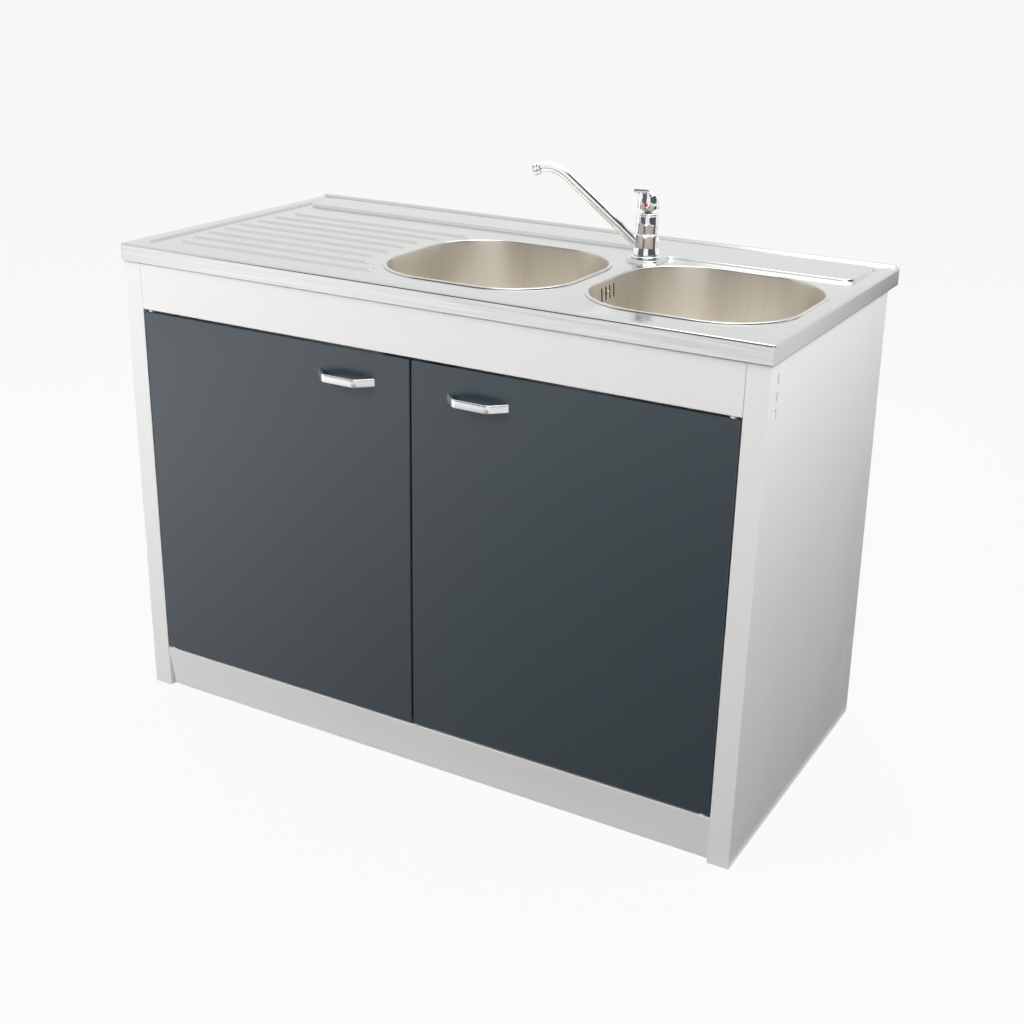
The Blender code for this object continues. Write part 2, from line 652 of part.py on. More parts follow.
def rear_rail():
    """Channel across the open back, hooked into the rear slots of the sides."""
    hooks = [REAR_SLOT_HEIGHT + i * HOOK_PITCH for i in range(HOOK_COUNT)]
    half = HOOK_SLOT_TALL / 2 + REAR_RAIL_MARGIN
    low, high = hooks[0] - half, hooks[-1] + half
    back = REAR_SLOT_DEPTH + SHEET / 2
    profile = sheet_outline([
        (at_depth(back - REAR_RAIL_FLANGE), low), (at_depth(back), low),
        (at_depth(back), high), (at_depth(back - REAR_RAIL_FLANGE), high)], SHEET)
    rail = new_object("rear_rail", prism(profile, -CARCASS_HALF, CARCASS_HALF, "X"), WHITE, smooth=False)
    for sign, word in SIDES:
        boolean(rail, guide(f"rear_rail_hooks_{word}", joined(
            *hook_notches(sign, low, high, hooks, REAR_SLOT_DEPTH))))
    return rail


def plinth():
    """Front board of the foot: a shelf under the doors and a face that leans back."""
    profile = sheet_outline([
        (at_depth(FACE_DEPTH + PLINTH_LEAN + PLINTH_FOOT), PLINTH_LIFT),
        (at_depth(FACE_DEPTH + PLINTH_LEAN), PLINTH_LIFT),
        (at_depth(FACE_DEPTH), PLINTH_TOP), (at_depth(FACE_DEPTH + PLINTH_SHELF_DEPTH), PLINTH_TOP)],
        -SHEET)
    half = STILE_X - GAP
    board = new_object("plinth", prism(profile, -half, half, "X"), WHITE, smooth=False)
    pins = [pivot_hole(sign, PLINTH_TOP - SHEET / 2) for sign, _ in SIDES]
    boolean(board, guide("plinth_pivot_holes", joined(*pins)))
    return board


def tray(name, half, front, rear, top, lip, open_front, open_sides):
    """A panel with lips folded down; the open edges have none."""
    panel = new_object(name, box((-half, at_depth(front), top - lip), (half, at_depth(rear), top)),
                       WHITE, smooth=False)
    inside = half + OVERRUN if open_sides else half - SHEET
    start = front - OVERRUN if open_front else front + SHEET
    hollow = box((-inside, at_depth(start), top - lip - OVERRUN),
                 (inside, at_depth(rear - SHEET), top - SHEET))
    return boolean(panel, guide(f"{name}_hollow", hollow))


def shelves():
    floor_top = PLINTH_TOP + GAP + SHEET
    tray("floor_panel", INSIDE_HALF, FACE_DEPTH + PLINTH_SHELF_DEPTH - FLOOR_LAP, FLOOR_REAR,
         floor_top, FLOOR_LIP, True, False)
    shelf_top = SHELF_PIN_HEIGHT + SHELF_PIN_RADIUS + GAP + SHEET
    tray("shelf", WEB_INNER - SHELF_END_GAP, SHELF_PIN_DEPTH_FRONT - SHELF_MARGIN,
         SHELF_PIN_DEPTH_REAR + SHELF_MARGIN, shelf_top, SHELF_LIP, False, True)


def shelf_pins():
    """Plastic pegs pushed through the sides; their round ends make the dimples outside."""
    number = 0
    for sign, _ in SIDES:
        for depth in (SHELF_PIN_DEPTH_FRONT, SHELF_PIN_DEPTH_REAR):
            number += 1
            start = -SHEET + GAP
            profile = [(0, start), (SHELF_PIN_RADIUS - GAP, start), (SHELF_PIN_RADIUS - GAP, GAP),
                       (SHELF_PIN_HEAD, GAP), (SHELF_PIN_HEAD, SHELF_PIN_HEAD_THICK),
                       (SHELF_PIN_RADIUS, SHELF_PIN_HEAD_THICK),
                       (SHELF_PIN_RADIUS, SHELF_PIN_LENGTH), (0, SHELF_PIN_LENGTH)]
            spin = Matrix.Rotation(-sign * math.pi / 2, 4, "Y")
            new_object(f"shelf_pin_{number}", turned_by(revolved(profile, 12), spin), NYLON,
                       (sign * WEB_INNER, at_depth(depth), SHELF_PIN_HEIGHT))


# Doors

def door(sign, word):
    """A folded steel pan with a lip; its origin is on the hinge axis, at the door's foot."""
    name = f"door_{word}"
    place = Vector((sign * PIVOT_X, at_depth(PIVOT_Y_DEPTH), DOOR_FOOT))
    x0, x1 = span(sign, DOOR_MIDDLE_GAP / 2, STILE_X - DOOR_SIDE_GAP)
    y0, y1 = at_depth(FACE_DEPTH), at_depth(FACE_DEPTH + DOOR_THICK)
    height = DOOR_TOP - DOOR_FOOT

    def ring(inset, y):
        return [Vector(corner) - Vector((place.x, place.y, 0)) for corner in
                ((x0 + inset, y, inset), (x1 - inset, y, inset),
                 (x1 - inset, y, height - inset), (x0 + inset, y, height - inset))]

    rings = [ring(0, y0), ring(0, y1), ring(DOOR_LIP, y1), ring(DOOR_LIP, y1 - SHEET),
             ring(SHEET, y1 - SHEET), ring(SHEET, y0 + SHEET)]
    pan = new_object(name, lofted(rings), SLATE, place, smooth=False)
    holes = []
    for level in (SHEET / 2, height - SHEET / 2):
        drill = revolved([(0, -OVERRUN), (PIVOT_RADIUS + PIVOT_FIT, -OVERRUN),
                          (PIVOT_RADIUS + PIVOT_FIT, OVERRUN), (0, OVERRUN)], 12)
        holes.append(turned_by(drill, Matrix.Translation((0, 0, level))))
    radius = HANDLE_SCREW_RADIUS + HANDLE_SCREW_FIT
    for x in handle_screw_places(sign):
        drill = revolved([(0, -OVERRUN), (radius, -OVERRUN), (radius, OVERRUN), (0, OVERRUN)], 8)
        turn = Matrix.Rotation(math.pi / 2, 4, "X")
        at = Matrix.Translation((x - place.x, y0 - place.y, HANDLE_HEIGHT - place.z))
        holes.append(turned_by(drill, at @ turn))
    cut = guide(f"{name}_holes", joined(*holes), place)
    boolean(pan, cut)
    return pan


def handle_screw_places(sign):
    return [sign * HANDLE_X - HANDLE_SCREW_SPACING / 2, sign * HANDLE_X + HANDLE_SCREW_SPACING / 2]


def handle(sign, word):
    """A bow of three flats with solid feet, tapped for a screw from inside the door."""
    outer, flat = HANDLE_LENGTH / 2, HANDLE_FLAT / 2
    reach = HANDLE_REACH - GAP
    slope = (outer - flat) / reach
    inner_flat = flat - HANDLE_STRAP * (math.hypot(1, slope) - slope)
    foot = outer - HANDLE_FOOT
    outline = [(-outer, 0), (-flat, -reach), (flat, -reach), (outer, 0), (foot, 0),
               (inner_flat, HANDLE_STRAP - reach), (-inner_flat, HANDLE_STRAP - reach), (-foot, 0)]
    half = HANDLE_TALL / 2
    bow = prism(outline, -half, half)
    rim = [edge for edge in bow.edges
           if edge.verts[0].co.z * edge.verts[1].co.z > 0
           and min(edge.verts[0].co.y, edge.verts[1].co.y) < -GAP]
    bmesh.ops.bevel(bow, geom=rim, offset=HANDLE_EDGE, segments=1, affect="EDGES", clamp_overlap=True)
    place = (sign * HANDLE_X, at_depth(FACE_DEPTH) - GAP, HANDLE_HEIGHT)
    made = new_object(f"handle_{word}", bow, HANDLE_METAL, place, smooth=False)
    taps = []
    radius = HANDLE_SCREW_RADIUS + HANDLE_SCREW_FIT
    for x in (-HANDLE_SCREW_SPACING / 2, HANDLE_SCREW_SPACING / 2):
        drill = revolved([(0, -OVERRUN), (radius, -OVERRUN), (radius, HANDLE_SCREW_DEEP + GAP),
                          (0, HANDLE_SCREW_DEEP + GAP)], 8)
        taps.append(turned_by(drill, Matrix.Translation((x, 0, 0)) @ Matrix.Rotation(math.pi / 2, 4, "X")))
    boolean(made, guide(f"handle_{word}_taps", joined(*taps), place))


def handle_screws():
    number = 0
    inside = at_depth(FACE_DEPTH + SHEET) + GAP
    for sign, _ in SIDES:
        for x in handle_screw_places(sign):
            number += 1
            length = SHEET + GAP + GAP + HANDLE_SCREW_DEEP
            profile = [(0, -HANDLE_SCREW_HEAD_THICK), (HANDLE_SCREW_HEAD, -HANDLE_SCREW_HEAD_THICK),
                       (HANDLE_SCREW_HEAD, 0), (HANDLE_SCREW_RADIUS, 0),
                       (HANDLE_SCREW_RADIUS, length), (0, length)]
            new_object(f"handle_screw_{number}",
                       turned_by(revolved(profile, 8), Matrix.Rotation(math.pi / 2, 4, "X")),
                       ZINC, (x, inside, HANDLE_HEIGHT))


def door_pivots():
    """Nylon pins that snap into the rail and the plinth; their collars fill the doors' gaps."""
    for sign, word in SIDES:
        for end, seat, gap in (("top", RAIL_HEIGHT, DOOR_TOP_GAP), ("bottom", PLINTH_TOP, DOOR_FOOT_GAP)):
            head = SHEET + GAP
            profile = [(0, -gap - SHEET - PIVOT_REACH), (PIVOT_RADIUS, -gap - SHEET - PIVOT_REACH),
                       (PIVOT_RADIUS, GAP - gap), (PIVOT_COLLAR, GAP - gap), (PIVOT_COLLAR, -GAP),
                       (PIVOT_RADIUS, -GAP), (PIVOT_RADIUS, head), (PIVOT_HEAD, head),
                       (PIVOT_RADIUS, head + PIVOT_HEAD_HEIGHT), (0, head + PIVOT_HEAD_HEIGHT)]
            pin = revolved(profile, 12)
            if end == "bottom":
                turned_by(pin, Matrix.Rotation(math.pi, 4, "X"))
            new_object(f"pivot_{end}_{word}", pin, NYLON, (sign * PIVOT_X, at_depth(PIVOT_Y_DEPTH), seat))


def catch(sign, word):
    """Magnetic catch under the rail's floor, which also stops the door."""
    front = FACE_DEPTH + DOOR_THICK + GAP
    half = CATCH_WIDTH / 2
    top = RAIL_HEIGHT - GAP
    body = new_object(f"catch_{word}", box((-half, 0, -CATCH_TALL), (half, CATCH_DEEP, 0)), BROWN,
                      (sign * CATCH_X, at_depth(front), top), smooth=False)
    groove = box((-half - OVERRUN, -OVERRUN, -(CATCH_TALL + CATCH_GROOVE) / 2),
                 (half + OVERRUN, CATCH_GROOVE / 2, -(CATCH_TALL - CATCH_GROOVE) / 2))
    boolean(body, guide(f"catch_{word}_groove", groove, (sign * CATCH_X, at_depth(front), top)))


# Sink top

def bowl_outline(middle_x, grow):
    """Plan of a bowl's opening, grown outwards or, if negative, drawn in."""
    half_x, half_y = BOWL_WIDTH / 2 + grow, BOWL_LENGTH / 2 + grow
    corners = rounded_box(middle_x - half_x, middle_x + half_x, BOWL_Y - half_y, BOWL_Y + half_y,
                          BOWL_CORNER + grow, BOWL_CORNER_STEPS)
    out = []
    for i, corner in enumerate(corners):
        out.append(corner)
        if i % (BOWL_CORNER_STEPS + 1) == BOWL_CORNER_STEPS:
            following = corners[(i + 1) % len(corners)]
            out += [corner.lerp(following, share) for share in (1 / 3, 2 / 3)]
    return out


def rib_right_end(y):
    """X where a rib stops, an even margin outside the left bowl."""
    corner_x = BOWL_LEFT_X - BOWL_WIDTH / 2 + BOWL_CORNER
    beyond = max(0.0, abs(y - BOWL_Y) - (BOWL_LENGTH / 2 - BOWL_CORNER))
    return corner_x - math.sqrt((BOWL_CORNER + RIB_BOWL_MARGIN) ** 2 - beyond ** 2)


def ledge_outline(grow):
    """Raised ledge along the back, which comes forward round the tap and behind the right bowl."""
    end = HALF_TOP - LEDGE_END_INSET + grow
    front = at_depth(LEDGE_DEPTH) - grow
    front_right = at_depth(LEDGE_DEPTH_RIGHT) - grow
    back = at_depth(LEDGE_BACK) + grow
    margin = LEDGE_TAP_MARGIN + grow
    points = [(-end, back), (-end, front), (TAP_X - margin, front), (TAP_X - margin, TAP_Y - margin),
              (TAP_X + margin, TAP_Y - margin), (TAP_X + margin, front_right),
              (end, front_right), (end, back)]
    outer, inner = LEDGE_RADIUS + grow, LEDGE_RADIUS - grow
    return rounded(points, [outer, outer, inner, outer, outer, min(inner, LEDGE_RADIUS / 2), outer, outer],
                   steps=3)


def field_outline(grow):
    inset = BORDER_WIDTH - grow
    return rounded_box(-HALF_TOP + inset, HALF_TOP - inset, at_depth(inset), at_depth(TOP_DEPTH - inset),
                       FIELD_RADIUS + grow)


def stepped(outline, low, high, slope):
    """A plug between two heights whose plan grows by slope on the way up; negative shrinks it."""
    return lofted([lifted(outline(0), low), lifted(outline(slope), high)])


def pressed_form(name, thickness, finish):
    """One side of the pressed sheet, as a solid: the outside, or what lies under the sheet."""
    hidden = thickness > 0
    low = TOP_HEIGHT - SKIRT_HEIGHT - (OVERRUN if hidden else 0)
    x = HALF_TOP - thickness
    block = box((-x, at_depth(thickness), low), (x, at_depth(TOP_DEPTH - thickness), TOP_HEIGHT - thickness))
    top_edges = [edge for edge in block.edges
                 if all(corner.co.z > TOP_HEIGHT - thickness - GAP for corner in edge.verts)]
    upright = [edge for edge in block.edges if abs(edge.verts[0].co.z - edge.verts[1].co.z) > GAP]
    bmesh.ops.bevel(block, geom=top_edges + upright, offset=SKIRT_EDGE_RADIUS - thickness, segments=2,
                    affect="EDGES", profile=0.5, clamp_overlap=True)
    make = guide if hidden else None
    form = make(name, block) if hidden else new_object(name, block, finish, smooth=False)
    field = stepped(lambda grow: field_outline(grow + thickness), FIELD_Z - thickness,
                    TOP_HEIGHT + OVERRUN, FIELD_SLOPE * (FIELD_DROP + OVERRUN + thickness) / FIELD_DROP)
    boolean(form, guide(f"{name}_field", field))
    ledge = lofted([lifted(ledge_outline(LEDGE_SLOPE - thickness), FIELD_Z - thickness - OVERRUN),
                    lifted(ledge_outline(LEDGE_SLOPE - thickness), FIELD_Z - thickness),
                    lifted(ledge_outline(-thickness), LEDGE_Z - thickness)])
    boolean(form, guide(f"{name}_ledge", ledge), "UNION")
    return form


def lip():
    """Rolled lip that stands up along the wall side."""
    half = HALF_TOP - LIP_INSET
    back = TOP_DEPTH - LIP_INSET
    rise = TOP_HEIGHT + LIP_RISE
    profile = rounded([(at_depth(back - LIP_WIDTH), TOP_HEIGHT - TOP_SHEET / 2),
                       (at_depth(back - LIP_WIDTH + LIP_RISE), rise), (at_depth(back), rise),
                       (at_depth(back), TOP_HEIGHT - TOP_SHEET / 2)],
                      [0, LIP_RISE / 2, LIP_RISE / 2, 0], steps=2)
    return prism(profile, -half, half, "X")


def drainer_ribs():
    """Long raised ribs: the left ends follow a bow, the right ends the left bowl."""
    ribs = []
    half_count = (RIB_COUNT - 1) / 2
    for i in range(RIB_COUNT):
        y = at_depth(RIB_FIRST_DEPTH + i * RIB_PITCH)
        off = (i - half_count) / half_count
        left = -HALF_TOP + RIB_END_INSET + RIB_END_BOW * off * off
        right = rib_right_end(y)
        half = RIB_WIDTH / 2
        rings = []
        places = [(left + RIB_WIDTH * place, width, rise) for place, width, rise in RIB_TIP_SHARES]
        places += [(right - RIB_WIDTH * place, width, rise) for place, width, rise in RIB_TIP_SHARES[::-1]]
        for x, width, rise in places:
            top = FIELD_Z + RIB_RISE * rise
            shoulder = FIELD_Z + RIB_RISE * rise * RIB_SHOULDER_SHARE
            low = FIELD_Z - TOP_SHEET / 2
            reach = half * width
            rings.append([(x, y - reach, low), (x, y - reach * RIB_SHOULDER_SHARE, shoulder), (x, y, top),
                          (x, y + reach * RIB_SHOULDER_SHARE, shoulder), (x, y + reach, low)])
        ribs.append(lofted(rings))
    return joined(*ribs)


def sink_top():
    top = pressed_form("sink_top", 0, STEEL)
    boolean(top, guide("sink_top_lip", lip()), "UNION")
    boolean(top, guide("sink_top_ribs", drainer_ribs()), "UNION")
    boolean(top, pressed_form("sink_top_under", TOP_SHEET, STEEL))
    openings = []
    for middle in (BOWL_LEFT_X, BOWL_RIGHT_X):
        outline = bowl_outline(middle, BOWL_SHEET + GAP + GAP)
        openings.append(prism(outline, FIELD_Z - FIELD_DROP - OVERRUN, FIELD_Z + OVERRUN))
    openings.append(turned_by(revolved([(0, -OVERRUN * 2), (TAP_HOLE_RADIUS, -OVERRUN * 2),
                                        (TAP_HOLE_RADIUS, OVERRUN), (0, OVERRUN)], 16),
                              Matrix.Translation((TAP_X, TAP_Y, LEDGE_Z))))
    boolean(top, guide("sink_top_openings", joined(*openings)))
    return top


# Bowls

def waste_ring(middle_x, radius, count):
    """A circle round the waste with a point for each point of the bowl's outline."""
    plan = bowl_outline(middle_x, 0)
    out = []
    for point in plan:
        angle = math.atan2(point[1] - BOWL_Y, point[0] - middle_x)
        out.append((middle_x + radius * math.cos(angle), BOWL_Y + radius * math.sin(angle)))
    return out[:count]


def bowl(middle_x, word):
    """A drawn bowl hung from its rolled rim, with tapered walls and a hole for the waste."""
    count = len(bowl_outline(middle_x, 0))
    wall_foot = BOWL_FLOOR_Z + BOWL_FLOOR_RADIUS
    skin = []
    for side in (0, BOWL_SHEET):
        rows = [(0, FIELD_Z), (-BOWL_TAPER, wall_foot)]
        for step in (1, 2, 3):
            angle = step * math.pi / 6
            rows.append((-BOWL_TAPER - BOWL_FLOOR_RADIUS * (1 - math.cos(angle)),
                         wall_foot - BOWL_FLOOR_RADIUS * math.sin(angle)))
        rings = []
        for number, (grow, height) in enumerate(rows):
            angle = max(0, number - 1) * math.pi / 6
            rings.append(lifted(bowl_outline(middle_x, grow + side * math.cos(angle)),
                                height - side * math.sin(angle)))
        rings.append(lifted(waste_ring(middle_x, WASTE_FLANGE_RADIUS + WASTE_FLANGE, count),
                            WASTE_Z - side))
        rings.append(lifted(waste_ring(middle_x, WASTE_HOLE_RADIUS, count), WASTE_Z - side))
        skin.append(rings)
    inner, outer = skin
    rim = [lifted(bowl_outline(middle_x, BOWL_SHEET), FIELD_Z + GAP),
           lifted(bowl_outline(middle_x, BOWL_RIM_WIDTH), FIELD_Z + GAP),
           lifted(bowl_outline(middle_x, BOWL_RIM_WIDTH), FIELD_Z + BOWL_SHEET),
           lifted(bowl_outline(middle_x, BOWL_RIM_WIDTH * 0.7), FIELD_Z + BOWL_RIM_RISE),
           lifted(bowl_outline(middle_x, BOWL_RIM_WIDTH * 0.25), FIELD_Z + BOWL_RIM_RISE)]
    rings = inner + outer[:0:-1] + rim
    made = new_object(f"bowl_{word}", lofted(rings, closed=True), SATIN)
    if word == "right":
        boolean(made, guide("overflow_slots", overflow_slots()))
    return made


def overflow_wall_x(height):
    """X of the inner face of the right bowl's left wall."""
    fall = (FIELD_Z - height) / (FIELD_Z - BOWL_FLOOR_Z - BOWL_FLOOR_RADIUS)
    return BOWL_RIGHT_X - BOWL_WIDTH / 2 + BOWL_TAPER * fall


OVERFLOW_Z = FIELD_Z - OVERFLOW_DROP
OVERFLOW_Y = at_depth(OVERFLOW_DEPTH)
OVERFLOW_BACK_X = BOWL_RIGHT_X - BOWL_WIDTH / 2 - BOWL_SHEET - GAP


def overflow_slots():
    cuts = []
    x0 = OVERFLOW_BACK_X - OVERRUN
    x1 = overflow_wall_x(OVERFLOW_Z - OVERFLOW_TALL) + OVERRUN
    for i in range(OVERFLOW_SLOTS):
        y = OVERFLOW_Y + (i - (OVERFLOW_SLOTS - 1) / 2) * OVERFLOW_PITCH
        cuts.append(box((x0, y - OVERFLOW_SLOT / 2, OVERFLOW_Z - OVERFLOW_TALL / 2),
                        (x1, y + OVERFLOW_SLOT / 2, OVERFLOW_Z + OVERFLOW_TALL / 2)))
    radius = OVERFLOW_SCREW_RADIUS + GAP
    drill = revolved([(0, x0), (radius, x0), (radius, x1), (0, x1)], 8)
    turned_by(drill, Matrix.Translation((0, OVERFLOW_Y, OVERFLOW_Z)) @ Matrix.Rotation(math.pi / 2, 4, "Y"))
    return joined(*cuts, drill)


def overflow():
    """Cup behind the slots, the screw that holds it and its pipe down to the waste."""
    half_y, half_z = OVERFLOW_BOX_WIDTH / 2, OVERFLOW_BOX_TALL / 2
    x1 = OVERFLOW_BACK_X
    x0 = x1 - OVERFLOW_BOX_THICK
    wall = OVERFLOW_WALL

    def ring(x, inset):
        low, high = OVERFLOW_Z - half_z + inset, OVERFLOW_Z + half_z - inset
        return [(x, OVERFLOW_Y - half_y + inset, low), (x, OVERFLOW_Y + half_y - inset, low),
                (x, OVERFLOW_Y + half_y - inset, high), (x, OVERFLOW_Y - half_y + inset, high)]

    cup = new_object("overflow_housing", lofted([ring(x0, wall), ring(x0 + wall, 0), ring(x1, 0),
                                                 ring(x1, wall), ring(x0 + wall, wall)]),
                     PIPE_WHITE, smooth=False)
    boss = revolved([(0, x0 + wall / 2), (OVERFLOW_SCREW_HEAD, x0 + wall / 2),
                     (OVERFLOW_SCREW_HEAD, x1 - OVERFLOW_WALL), (0, x1 - OVERFLOW_WALL)], 8)
    turn = Matrix.Translation((0, OVERFLOW_Y, OVERFLOW_Z)) @ Matrix.Rotation(math.pi / 2, 4, "Y")
    boolean(cup, guide("overflow_boss", turned_by(boss, turn)), "UNION")
    radius = OVERFLOW_SCREW_RADIUS + GAP
    screw_bore = turned_by(revolved([(0, x0 + wall), (radius, x0 + wall), (radius, x1 + wall),
                                     (0, x1 + wall)], 8), turn)
    wall_x = overflow_wall_x(OVERFLOW_Z - OVERFLOW_SCREW_HEAD) + GAP
    screw = revolved([(0, x0 + wall + GAP), (OVERFLOW_SCREW_RADIUS, x0 + wall + GAP),
                      (OVERFLOW_SCREW_RADIUS, wall_x), (OVERFLOW_SCREW_HEAD, wall_x),
                      (OVERFLOW_SCREW_HEAD * 0.6, wall_x + OVERFLOW_HEAD_THICK),
                      (0, wall_x + OVERFLOW_HEAD_THICK)], 8)
    new_object("overflow_screw", turned_by(screw, turn), ZINC)
    outlet_x = x0 + OVERFLOW_BOX_THICK / 2
    inlet_z = CUP_BOTTOM_Z + OVERFLOW_INLET
    outlet_z = OVERFLOW_Z - half_z
    bore = OVERFLOW_PIPE_RADIUS - OVERFLOW_PIPE_WALL
    drain = tube([(outlet_x, OVERFLOW_Y, outlet_z - wall), (outlet_x, OVERFLOW_Y, outlet_z + wall * 2)],
                 OVERFLOW_BOX_THICK / 2 - wall - GAP, 8)
    boolean(cup, guide("overflow_bores", joined(screw_bore, drain)))
    path = rounded([(outlet_x, OVERFLOW_Y, outlet_z - GAP), (outlet_x, OVERFLOW_Y, inlet_z),
                    (BOWL_RIGHT_X - WASTE_CUP_RADIUS - GAP, OVERFLOW_Y, inlet_z)],
                   OVERFLOW_PIPE_BEND, closed=False)
    new_object("overflow_pipe", tube(path, OVERFLOW_PIPE_RADIUS, 8, bore), BLACK)


# Wastes

def waste(middle_x, word):
    """Flanged waste cup with a seat for the strainer, its seal under the bowl and its ring nut."""
    place = (middle_x, BOWL_Y, 0)
    top = WASTE_Z + GAP
    seat = WASTE_Z - STRAINER_SEAT
    inner = WASTE_CUP_RADIUS - WASTE_WALL
    throat = inner - STRAINER_SEAT_WIDTH
    bore = WASTE_SPIGOT_RADIUS - WASTE_WALL
    profile = [(WASTE_CUP_RADIUS, top), (WASTE_FLANGE_RADIUS, top), (WASTE_FLANGE_RADIUS, top + GAP),
               (inner, top + WASTE_FLANGE), (inner, seat), (throat, seat),
               (throat, CUP_BOTTOM_Z + WASTE_WALL), (bore, CUP_BOTTOM_Z - WASTE_CONE),
               (bore, SPIGOT_END_Z), (WASTE_SPIGOT_RADIUS, SPIGOT_END_Z),
               (WASTE_SPIGOT_RADIUS, CUP_BOTTOM_Z - WASTE_CONE), (WASTE_CUP_RADIUS, CUP_BOTTOM_Z)]
    cup = new_object(f"waste_{word}", revolved(profile, 20), STEEL, place)
    if word == "right":
        inlet_z = CUP_BOTTOM_Z + OVERFLOW_INLET
        inlet = tube([(BOWL_RIGHT_X - WASTE_CUP_RADIUS - OVERRUN, OVERFLOW_Y, inlet_z),
                      (BOWL_RIGHT_X - WASTE_CUP_RADIUS / 2, OVERFLOW_Y, inlet_z)],
                     OVERFLOW_PIPE_RADIUS - OVERFLOW_PIPE_WALL, 8)
        boolean(cup, guide("waste_overflow_inlet", inlet))
    under = WASTE_Z - BOWL_SHEET - GAP
    fit = WASTE_CUP_RADIUS + GAP
    seal = [(fit, under), (WASTE_NUT_RADIUS, under), (WASTE_NUT_RADIUS, under - WASTE_SEAL),
            (fit, under - WASTE_SEAL)]
    new_object(f"waste_seal_{word}", revolved(seal, 20), BLACK, place)
    nut_top = under - WASTE_SEAL - GAP
    rib = WASTE_NUT_RADIUS - WASTE_SEAL
    nut = [(fit, nut_top), (WASTE_NUT_RADIUS, nut_top), (WASTE_NUT_RADIUS, nut_top - WASTE_SEAL),
           (rib, nut_top - WASTE_SEAL), (rib, nut_top - WASTE_NUT_HEIGHT),
           (fit, nut_top - WASTE_NUT_HEIGHT)]
    new_object(f"waste_nut_{word}", revolved(nut, 20), PIPE_WHITE, place)


def strainer(middle_x, word):
    """Lift-out basket with a knob; its origin is on its axis, at the seat."""
    seat = WASTE_Z - STRAINER_SEAT + GAP
    inner = WASTE_CUP_RADIUS - WASTE_WALL
    rim = inner - 2 * GAP
    outer = inner - STRAINER_SEAT_WIDTH - 2 * GAP
    foot = outer - STRAINER_TAPER
    wall = STRAINER_WALL
    knob = STRAINER_KNOB_RISE
    post = STRAINER_POST_RADIUS
    profile = [(0, -STRAINER_DEPTH), (foot, -STRAINER_DEPTH), (outer, -wall), (outer, 0), (rim, 0),
               (rim, wall), (outer - wall, wall), (foot - wall, wall - STRAINER_DEPTH),
               (post, wall - STRAINER_DEPTH), (post, knob - STRAINER_KNOB_RADIUS / 2),
               (STRAINER_KNOB_RADIUS, knob - STRAINER_KNOB_RADIUS / 4),
               (STRAINER_KNOB_RADIUS * 0.8, knob), (0, knob)]
    place = (middle_x, BOWL_Y, seat)
    basket = new_object(f"strainer_{word}", revolved(profile, 16), STEEL, place)
    drills = []
    ring = (foot + post) / 2
    for i in range(STRAINER_HOLES):
        angle = math.tau * i / STRAINER_HOLES
        drill = revolved([(0, -OVERRUN), (STRAINER_HOLE_RADIUS, -OVERRUN),
                          (STRAINER_HOLE_RADIUS, OVERRUN), (0, OVERRUN)], 6)
        shift = Matrix.Translation((ring * math.cos(angle), ring * math.sin(angle), -STRAINER_DEPTH))
        drills.append(turned_by(drill, shift))
    boolean(basket, guide(f"strainer_{word}_holes", joined(*drills), place))


# Waste pipes

def ring_nut(name, radius, fit, height, place, matrix=Matrix.Identity(4)):
    """A compression nut: a ring with a chamfered end, on a pipe."""
    chamfer = PIPE_WALL
    profile = [(fit, 0), (radius - chamfer, 0), (radius, chamfer), (radius, height), (fit, height)]
    new_object(name, turned_by(revolved(profile, PIPE_SIDES), matrix), PIPE_WHITE, place)


def waste_pipes():
    nut_fit = PIPE_RADIUS / math.cos(math.pi / PIPE_SIDES) + GAP
    pipe_top = SPIGOT_END_Z - GAP
    bore = PIPE_RADIUS - PIPE_WALL
    for middle_x, word in ((BOWL_LEFT_X, "left"), (BOWL_RIGHT_X, "right")):
        ring_nut(f"tail_nut_{word}", PIPE_NUT_RADIUS, nut_fit, PIPE_NUT_HEIGHT,
                 (middle_x, BOWL_Y, SPIGOT_END_Z - PIPE_NUT_HEIGHT / 2))
    branch_x = BOWL_RIGHT_X - PIPE_RADIUS - PIPE_BEND
    path = rounded([(BOWL_LEFT_X, BOWL_Y, pipe_top), (BOWL_LEFT_X, BOWL_Y, PIPE_HEIGHT),
                    (branch_x - GAP, BOWL_Y, PIPE_HEIGHT)], PIPE_BEND, closed=False)
    new_object("tail_elbow", tube(path, PIPE_RADIUS, PIPE_SIDES, bore), PIPE_WHITE)
    tee = new_object("trap_tee", tube([(0, 0, pipe_top), (0, 0, TRAP_TOP + GAP)], PIPE_RADIUS,
                                      PIPE_SIDES), PIPE_WHITE, (BOWL_RIGHT_X, BOWL_Y, 0))
    branch = tube([(branch_x, BOWL_Y, PIPE_HEIGHT), (BOWL_RIGHT_X, BOWL_Y, PIPE_HEIGHT)],
                  PIPE_RADIUS - GAP, PIPE_SIDES)
    boolean(tee, guide("trap_tee_branch", branch), "UNION")
    bores = joined(tube([(BOWL_RIGHT_X, BOWL_Y, pipe_top + OVERRUN),
                         (BOWL_RIGHT_X, BOWL_Y, TRAP_TOP - OVERRUN)],
                        bore, PIPE_SIDES))
    boolean(tee, guide("trap_tee_bore", bores))
    side_bore = tube([(branch_x - OVERRUN, BOWL_Y, PIPE_HEIGHT), (BOWL_RIGHT_X, BOWL_Y, PIPE_HEIGHT)],
                     bore - GAP, PIPE_SIDES)
    boolean(tee, guide("trap_tee_side_bore", side_bore))
    trap(nut_fit)


